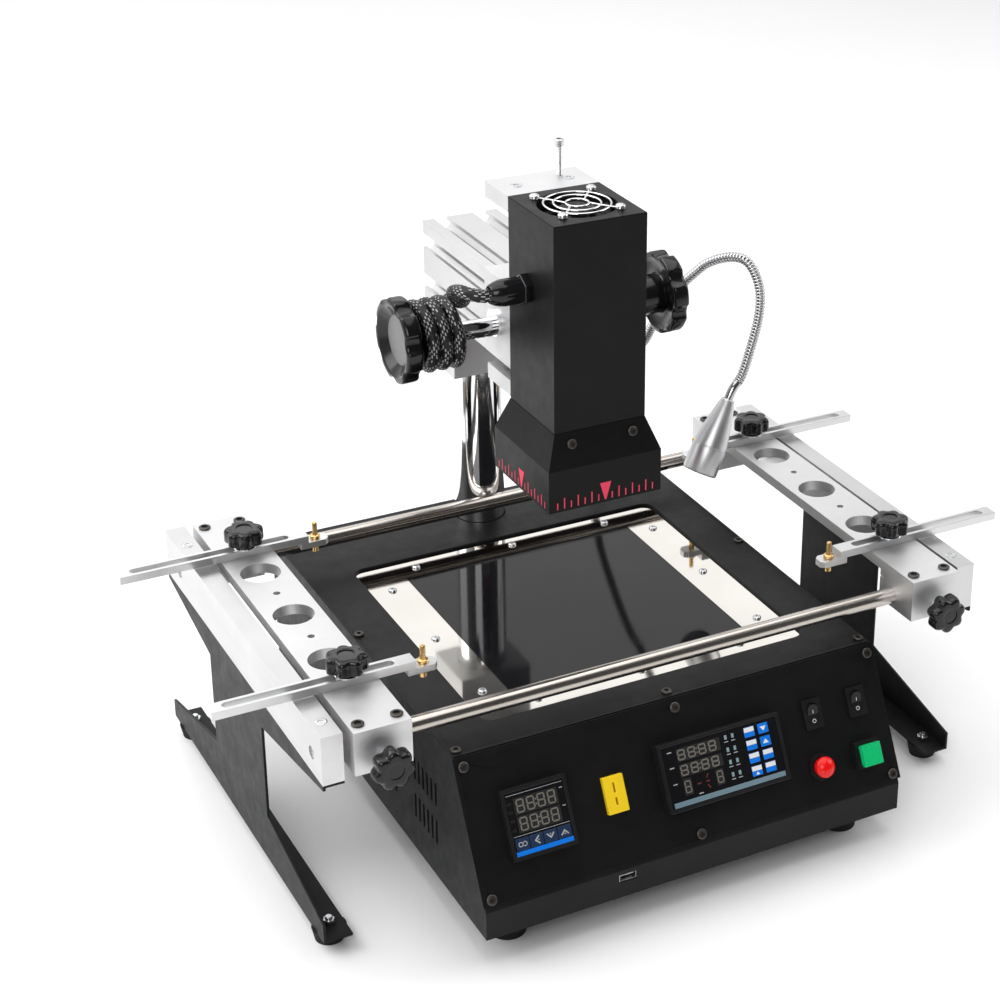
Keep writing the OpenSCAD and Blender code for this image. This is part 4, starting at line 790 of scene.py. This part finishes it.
def lift_screws():
    s = Shape()
    for x in (-LROD_X, LROD_X):
        hex_head(s, at(x, LROD_Y, Z_H1) @ turn("Z", 12), 4.4, 0.5, deep=0.4, edge=0.4)
    s.done("rod_end_screws", ["zinc"], "lift_head", "plated_screw")
    s = Shape()
    place, z = at(STOP_X, STOP_Y, 0.0), STOP_FOOT + 0.5
    thread = [(STOP_R - THREAD_DIP * (k % 2), z + THREAD_STEP * k) for k in range(1, THREAD_N)]
    s.lathe([(1.9, STOP_FOOT), (STOP_R, z)] + thread + [(STOP_R, STOP_NECK)], 24, place)
    hex_head(s, place @ at(0, 0, STOP_NECK), 3.5, 4.75, key=0.5, deep=2.4, edge=0.12)
    s.done("stop_screw_socket", ["zinc"], "lift_head", "plated_screw", replaces=("stop_screw",))


# ---- holding arms with brass pins

BAR_L, BAR_HALF, TIP_U, STUD_U = 157.0, 6.0, 141.0, 94.0
SLOT_U0, SLOT_U1, SLOT_R = 12.0, 124.0, 3.2
TONGUE_U, TONGUE_Z0, TONGUE_Z1, TONGUE_CUT = TIP_U - 6, -4.6, 0.4, 3
PIN_U = TIP_U + 6.8


def arm_body(s, m):
    """A slotted bar in two halves along its slot, with a thin tongue under its end."""
    quarter = [k * math.pi / 16 for k in range(9)]
    low = [(0, 0), (0, -BAR_HALF), (TIP_U, -BAR_HALF), (TIP_U, 0)]
    low += [(SLOT_U1 + SLOT_R * math.cos(a), -SLOT_R * math.sin(a)) for a in quarter]
    low += [(SLOT_U0 - SLOT_R * math.sin(a), -SLOT_R * math.cos(a)) for a in quarter]
    s.plate([low, [(x, -y) for x, y in reversed(low)]], 0.0, HOLD_H, m)
    w, c = BAR_HALF - 0.03, TONGUE_CUT
    s.plate([[(TONGUE_U, -w), (BAR_L - c, -w), (BAR_L, c - BAR_HALF), (BAR_L, BAR_HALF - c),
              (BAR_L - c, w), (TONGUE_U, w)]], TONGUE_Z0, TONGUE_Z1, m)


def pin(s, m):
    s.lathe([(1.8, -11.0), (2.25, -10.5), (2.25, 0.4), (3.5, 0.42), (3.8, 0.7), (3.8, 2.6),
             (3.5, 2.9), (2.1, 3.2), (1.9, 3.6), (1.9, 12.4), (1.5, 13.0)], 28,
            m @ at(PIN_U, 0, 0))


def holding_arms():
    for side, sx in SIDES:
        for end, ky in ENDS:
            m = at(sx * (CAR_X + STUD_U), HOLD_Y + ky * STUD_Y, PLATE_TOP + 0.02)
            m = m @ turn("Z", 180 if sx > 0 else 0)
            node, body = "arm_%s_%s" % (side, end), "hold_%s_%s" % (side, end)
            s = Shape()
            arm_body(s, m)
            s.done("hold_bar_%s_%s" % (side, end), ["alu_x"], body, "bare_aluminium", bevel=0.3,
                   replaces=(node,))
            s = Shape()
            pin(s, m)
            s.done("brass_pin_%s_%s" % (side, end), ["brass"], body, "bare_aluminium",
                   replaces=(node,))


# ---- screws and nuts of the board holder

CAR_SCREW_X, CAR_SCREW_Y = 13.4, 153.0
BAR_SCREW_X, BAR_TOP, ROD_SCREW_X = 247.5, 179.5, 251.2
FOOT_X, FOOT_Y, FOOT_SPAN, FOOT_Z = 244.6, 25.0, 143.0, 11.4


def holder_screws():
    for side, sx in SIDES:
        s = Shape()
        for dx in (-CAR_SCREW_X, CAR_SCREW_X):
            for ky in (-1, 1):
                place = at(sx * CAR_X + dx, HOLD_Y + ky * CAR_SCREW_Y, PLATE_TOP)
                hex_head(s, place @ turn("Z", 19 * dx * ky), 4.3, 1.6, key=0.52, deep=1.3)
        s.done("carriage_screws_" + side, ["black_steel"], "carriage_%s_body" % side,
               "black_plastic")
    s = Shape()
    for sx, ky in CORNERS:
        y = HOLD_Y + ky * ROD_HALF
        hex_head(s, at(sx * BAR_SCREW_X, y, BAR_TOP) @ turn("Z", 21), 4.2, 0.45, deep=0.35,
                 edge=0.4)
        hex_head(s, at(sx * ROD_SCREW_X, y, ROD_Z) @ turn("Y", 90 * sx), 4.2, 2.4, deep=1.8)
    s.done("bar_screws", ["zinc"], "station", "plated_screw")
    s = Shape()
    for sx, ky in CORNERS:
        s.lathe([(hexa(4.0), -0.2), (hexa(4.0), 3.0), (hexa(3.6), 3.4), (2.5, 3.5), (2.5, 5.0),
                 (2.1, 5.4)], 36, at(sx * FOOT_X, FOOT_Y + ky * FOOT_SPAN, FOOT_Z))
    s.done("foot_nuts", ["zinc"], "station", "plated_screw")


# ---- panel: rocker marks and controllers

ROCKERS = (("light_rocker", SW1, "light_switch"), ("fan_rocker", SW2, "fan_switch"))
ROCK_REST, ROCK_RISE, ROCK_TOP = 8, 1.1 / 7.3, 2.9
RING_AT, BAR_AT = 4.6, 2.2
# place across the panel, width, height and depth of each controller's frame
SMALL_FRAME, LARGE_FRAME = (-116.5, 48, 48, 6), (25.0, 97, 48, 9)
FRAME_RIM, FILM_BACK, FILM_Z, FIELD_Z = 2.6, -0.75, -0.25, 0.03


def rocker_marks():
    slope = math.degrees(math.atan(ROCK_RISE))
    for node, x, body in ROCKERS:
        s = Shape()
        m = panel(x, ROW_HI, -1) @ turn("X", ROCK_REST)
        low = m @ at(0, -RING_AT, ROCK_TOP + RING_AT * ROCK_RISE) @ turn("X", -slope)
        high = m @ at(0, BAR_AT, ROCK_TOP + BAR_AT * ROCK_RISE) @ turn("X", slope)
        s.ringlathe([(1.1, -0.1), (1.45, -0.1), (1.45, 0.06), (1.1, 0.06)], 32, low)
        s.box((-0.22, -1.3, -0.1), (0.22, 1.3, 0.06), high)
        s.done(node + "_marks", ["mark_white"], body, "black_plastic")


# places of the seven segments, in halves of the digit's width and quarters of its height
SEGMENTS = ((0, 2), (0, 0), (0, -2), (-1, 1), (1, 1), (-1, -1), (1, -1))


def digit(s, m, w, h):
    """An unlit seven segment eight, w wide and h high, about the origin of m."""
    t = w * 0.165
    hx, hy = w / 2 - t / 2, h / 2 - t / 2
    for cx, cy in SEGMENTS:
        x, y = cx * hx, cy / 2 * hy
        if cx == 0:
            e = hx - t * 0.6
            poly = [(-e - t / 2, y), (-e, y - t / 2), (e, y - t / 2), (e + t / 2, y),
                    (e, y + t / 2), (-e, y + t / 2)]
        else:
            e = hy / 2 - t * 0.6
            poly = [(x, y - e - t / 2), (x + t / 2, y - e), (x + t / 2, y + e),
                    (x, y + e + t / 2), (x - t / 2, y + e), (x - t / 2, y - e)]
        s.prism(poly, 0, 0.1, m)


def colon(s, m, x, y, gap):
    for dy in (-gap, gap):
        s.lathe([(0.6, 0.0), (0.6, 0.12)], 12, m @ at(x, y + dy, FIELD_Z))


def controller_face(name, x, wide, high, deep):
    """The front film in the recess of a controller's frame; returns the place of its face."""
    s = Shape()
    m = panel(x, MID_S, deep)
    iw, ih = wide / 2 - FRAME_RIM, high / 2 - FRAME_RIM
    s.box((-iw, -ih, FILM_BACK), (iw, ih, FILM_Z), m)
    s.done(name, ["window"], "station", "black_plastic", bevel=0.15)
    return m @ at(0, 0, FILM_Z)


def print_piece(s, name, mat, bevel=0.0):
    s.done(name, [mat], "station", "black_plastic", bevel=bevel)


def small_controller():
    m = controller_face("small_window", *SMALL_FRAME)
    fields, digits, keys, marks, strip = Shape(), Shape(), Shape(), Shape(), Shape()
    for y in (11.4, -0.8):
        fields.box((-16.0, y - 5.6, -0.05), (16.0, y + 5.6, FIELD_Z), m)
        for x in (-11.6, -4.0, 3.8, 11.4):
            digit(digits, m @ at(x, y, FIELD_Z), 5.8, 9.2)
        colon(digits, m, -0.1, y, 1.7)
    for y in (14.0, 8.3, 2.5, -3.7):
        fields.ringlathe([(0.7, 0), (1.3, 0), (1.3, 0.08), (0.7, 0.08)], 24,
                         m @ at(-19.2, y, 0) @ Matrix.Diagonal((1.2, 0.8, 1, 1)))
    for y in (19.4, -8.1):
        marks.box((-20.6, y, 0.0), (20.6, y + 0.32, 0.07), m)
    for y in (15.4, 3.2):
        marks.box((17.9, y, 0.0), (20.2, y + 0.6, 0.07), m)
    arrow = [(-3.0, -1.6), (-2.3, -2.3), (0, 0.2), (2.3, -2.3), (3.0, -1.6), (0, 1.7)]
    diamond = [(-0.6, -1.4), (0, -2.0), (0.6, -1.4), (0, -0.8)]
    for k, rot in enumerate((None, 90, 180, 0)):
        cx = -15.45 + 10.3 * k
        keys.box((cx - 4.85, -17.6, -0.05), (cx + 4.85, -9.5, 0.3), m)
        cm = m @ at(cx, -13.6, 0.3)
        if rot is None:
            for dx in (-1.5, 1.5):
                marks.ringlathe([(1.15, 0), (1.75, 0), (1.75, 0.06), (1.15, 0.06)], 24,
                                cm @ at(dx, 0, 0))
        else:
            marks.prism(arrow, 0, 0.06, cm @ turn("Z", rot))
            marks.prism(diamond, 0, 0.06, cm @ turn("Z", rot))
    strip.box((-21.0, -21.2, -0.05), (21.0, -18.1, 0.12), m)
    print_piece(fields, "small_fields", "window_grey")
    print_piece(digits, "small_digits", "segment")
    print_piece(marks, "small_marks", "mark_grey")
    print_piece(keys, "small_keys", "key_dark", bevel=0.25)
    print_piece(strip, "small_strip", "strip_blue", bevel=0.1)


def large_controller():
    m = controller_face("large_window", *LARGE_FRAME)
    fields, digits, lamps, marks = Shape(), Shape(), Shape(), Shape()
    blue, white, hints, strip = Shape(), Shape(), Shape(), Shape()
    for x0, y0, x1, y1 in ((-35.0, 9.5, -0.6, 18.6), (-35.0, -1.3, -0.9, 7.6),
                           (-34.5, -14.3, -27.8, -2.6), (-8.7, -13.8, -2.4, -2.8)):
        fields.box((x0, y0, -0.05), (x1, y1, FIELD_Z), m)
    for y in (14.0, 3.1):
        for x in (-31.4, -23.3, -14.9, -6.8):
            digit(digits, m @ at(x, y, FIELD_Z), 6.0, 7.4)
        colon(digits, m, -19.2, y, 1.5)
    digit(digits, m @ at(-31.2, -8.5, FIELD_Z), 4.9, 8.6)
    digit(digits, m @ at(-5.6, -8.3, FIELD_Z), 4.9, 8.6)
    grid = [(i, j) for i in range(2) for j in range(4)]
    for i, j in grid:
        cx, cy = 4.4 + 5.6 * i, 16.9 - 8.75 * j
        lamps.box((cx - 0.95, cy - 1.5, -0.02), (cx + 0.95, cy + 1.5, 0.12), m)
        marks.box((cx - 1.6, cy - 3.5, 0.0), (cx + 1.6, cy - 2.9, 0.05), m)
    for x, y in ((-42.0, 17.0), (-42.0, 6.2), (-42.0, -5.2), (-24.0, -15.8)):
        marks.box((x, y, 0), (x + 3.4, y + 0.8, 0.05), m)
    for i, j in grid:
        km = m @ at(23.4 + 11.2 * i, 15.9 - 9.2 * j, 0)
        blue.box((-4.1, -3.5, -0.05), (4.1, 3.5, 0.3), km)
        if i == 1 and j < 2:
            white.prism([(-2.4, -1.4), (2.4, -1.4), (0, 1.8)], 0.3, 0.37,
                        km @ turn("Z", 180 if j == 0 else 0))
        else:
            white.box((-3.9, 0.1, 0.2), (3.9, 3.3, 0.37), km)
        if i == 0 and j == 3:
            white.prism([(-1.5, -2.7), (1.5, -2.7), (0, -0.7)], 0.3, 0.37, km)
    for x, y, a in ((-15.3, -4.8, 60), (-15.5, -8.5, 0), (-15.3, -12.2, -60), (-22.4, -8.6, 0)):
        hints.box((-1.5, -0.45, 0), (1.5, 0.45, 0.06), m @ at(x, y, 0) @ turn("Z", a))
    strip.box((-44.2, -20.9, -0.05), (45.0, -17.3, 0.12), m)
    print_piece(fields, "large_fields", "window_grey")
    print_piece(digits, "large_digits", "segment")
    print_piece(lamps, "large_lamps", "led")
    print_piece(marks, "large_marks", "mark_grey")
    print_piece(blue, "large_keys", "key_blue", bevel=0.25)
    print_piece(white, "large_key_marks", "mark_white")
    print_piece(hints, "large_hints", "dim_red")
    print_piece(strip, "large_strip", "strip_grey", bevel=0.1)


# ---- tongue of the usb socket, a black block under it as painted shade, and blades of the power inlet

INLET_X, INLET_MID_Z = BASE_W / 2 - 60, 54.3
BLADE_HALF_W, BLADE_HALF_H = 1.05, 2.05


def socket_insides():
    s = Shape()
    s.box((-63.7, Y_FRONT + 2.75, 37.35), (-52.8, Y_FRONT + 14.7, 39.05))
    # painted shade: a black block under the tongue, set back from the opening, darkens the inside
    # of the socket where there is only shade
    s.box((-64.3, Y_FRONT + 6.0, 34.75), (-52.2, Y_FRONT + 14.6, 37.3), mat=1)
    s.done("usb_tongue_and_shade_block", ["white_plastic", "plastic"], "station", "black_plastic")
    s = Shape()
    for dx, dz in ((-7, -2), (0, 2), (7, -2)):
        x, z = INLET_X + dx, INLET_MID_Z + dz
        s.box((x - BLADE_HALF_W, BACK - 16.5, z - BLADE_HALF_H),
              (x + BLADE_HALF_W, BACK - 1.9, z + BLADE_HALF_H))
    s.done("inlet_blades", ["brass"], "station", "black_plastic", bevel=0.3)


# ---- floor and light

FLOOR_HALF = 9
# a pale sweep behind and above, a darker room in front
SKY_TOWARDS, SKY_LOW, SKY_HIGH, SKY_FROM, SKY_TO = (-0.2, 0.96, 0.18), 0.08, 0.95, -0.5, 0.8
# name, place, target, size and power of each soft light
SOFTBOXES = (
    ("top", (0.1, 0.2, 2.6), (0, 0, 0.1), (2.6, 2.6), 34),
    ("left_back", (-1.7, 1.0, 1.9), (0, 0, 0.2), (1.8, 1.8), 36),
    ("right", (2.3, -0.3, 1.5), (0, 0, 0.2), (1.6, 1.6), 20),
    ("front_left", (-1.5, -1.9, 1.7), (0, -0.1, 0.15), (1.3, 1.3), 24),
    ("far_floor", (0.2, 3.6, 2.4), (0.2, 3.8, 0), (4.5, 2.2), 26),
)


def floor():
    e = FLOOR_HALF
    me = bpy.data.meshes.new("floor")
    me.from_pydata([(-e, -e, 0), (e, -e, 0), (e, e, 0), (-e, e, 0)], [], [(0, 1, 2, 3)])
    m, nt, b = new_mat("floor_pale", (0.86, 0.86, 0.86), 0.55)
    cloud = spread(nt, noise(nt, 1.2), 0.0, 1.0)
    nt.links.new(tint(nt, cloud, (0.90, 0.90, 0.90), (0.93, 0.93, 0.93)), b.inputs["Base Color"])
    me.materials.append(m)
    o = bpy.data.objects.new("floor", me)
    bpy.context.collection.objects.link(o)


def area(name, loc, target, size, power):
    d = bpy.data.lights.new(name, "AREA")
    d.shape = "RECTANGLE"
    d.size, d.size_y = size
    d.energy = power
    o = bpy.data.objects.new(name, d)
    o.location = loc
    o.rotation_euler = (Vector(target) - Vector(loc)).to_track_quat("-Z", "Y").to_euler()
    bpy.context.collection.objects.link(o)


def lights():
    w = bpy.data.worlds.new("world")
    bpy.context.scene.world = w
    w.use_nodes = True
    nt = w.node_tree
    tc = nt.nodes.new("ShaderNodeTexCoord")
    dot = nt.nodes.new("ShaderNodeVectorMath")
    dot.operation = "DOT_PRODUCT"
    dot.inputs[1].default_value = SKY_TOWARDS
    nt.links.new(tc.outputs["Generated"], dot.inputs[0])
    sky = nt.nodes["Background"]
    sky.inputs["Color"].default_value = (1, 1, 1, 1)
    glow = spread(nt, dot.outputs["Value"], SKY_LOW, SKY_HIGH, SKY_FROM, SKY_TO)
    nt.links.new(glow, sky.inputs["Strength"])
    for softbox in SOFTBOXES:
        area(*softbox)
    bpy.context.scene.view_settings.view_transform = "Standard"


make_camera()
sleeve()
node_finishes()
cabinet_screws()
star_knobs()
handwheels()
lamp()
fan()
gland()
head_marks()
lift_screws()
holding_arms()
holder_screws()
rocker_marks()
small_controller()
large_controller()
socket_insides()
floor()
lights()
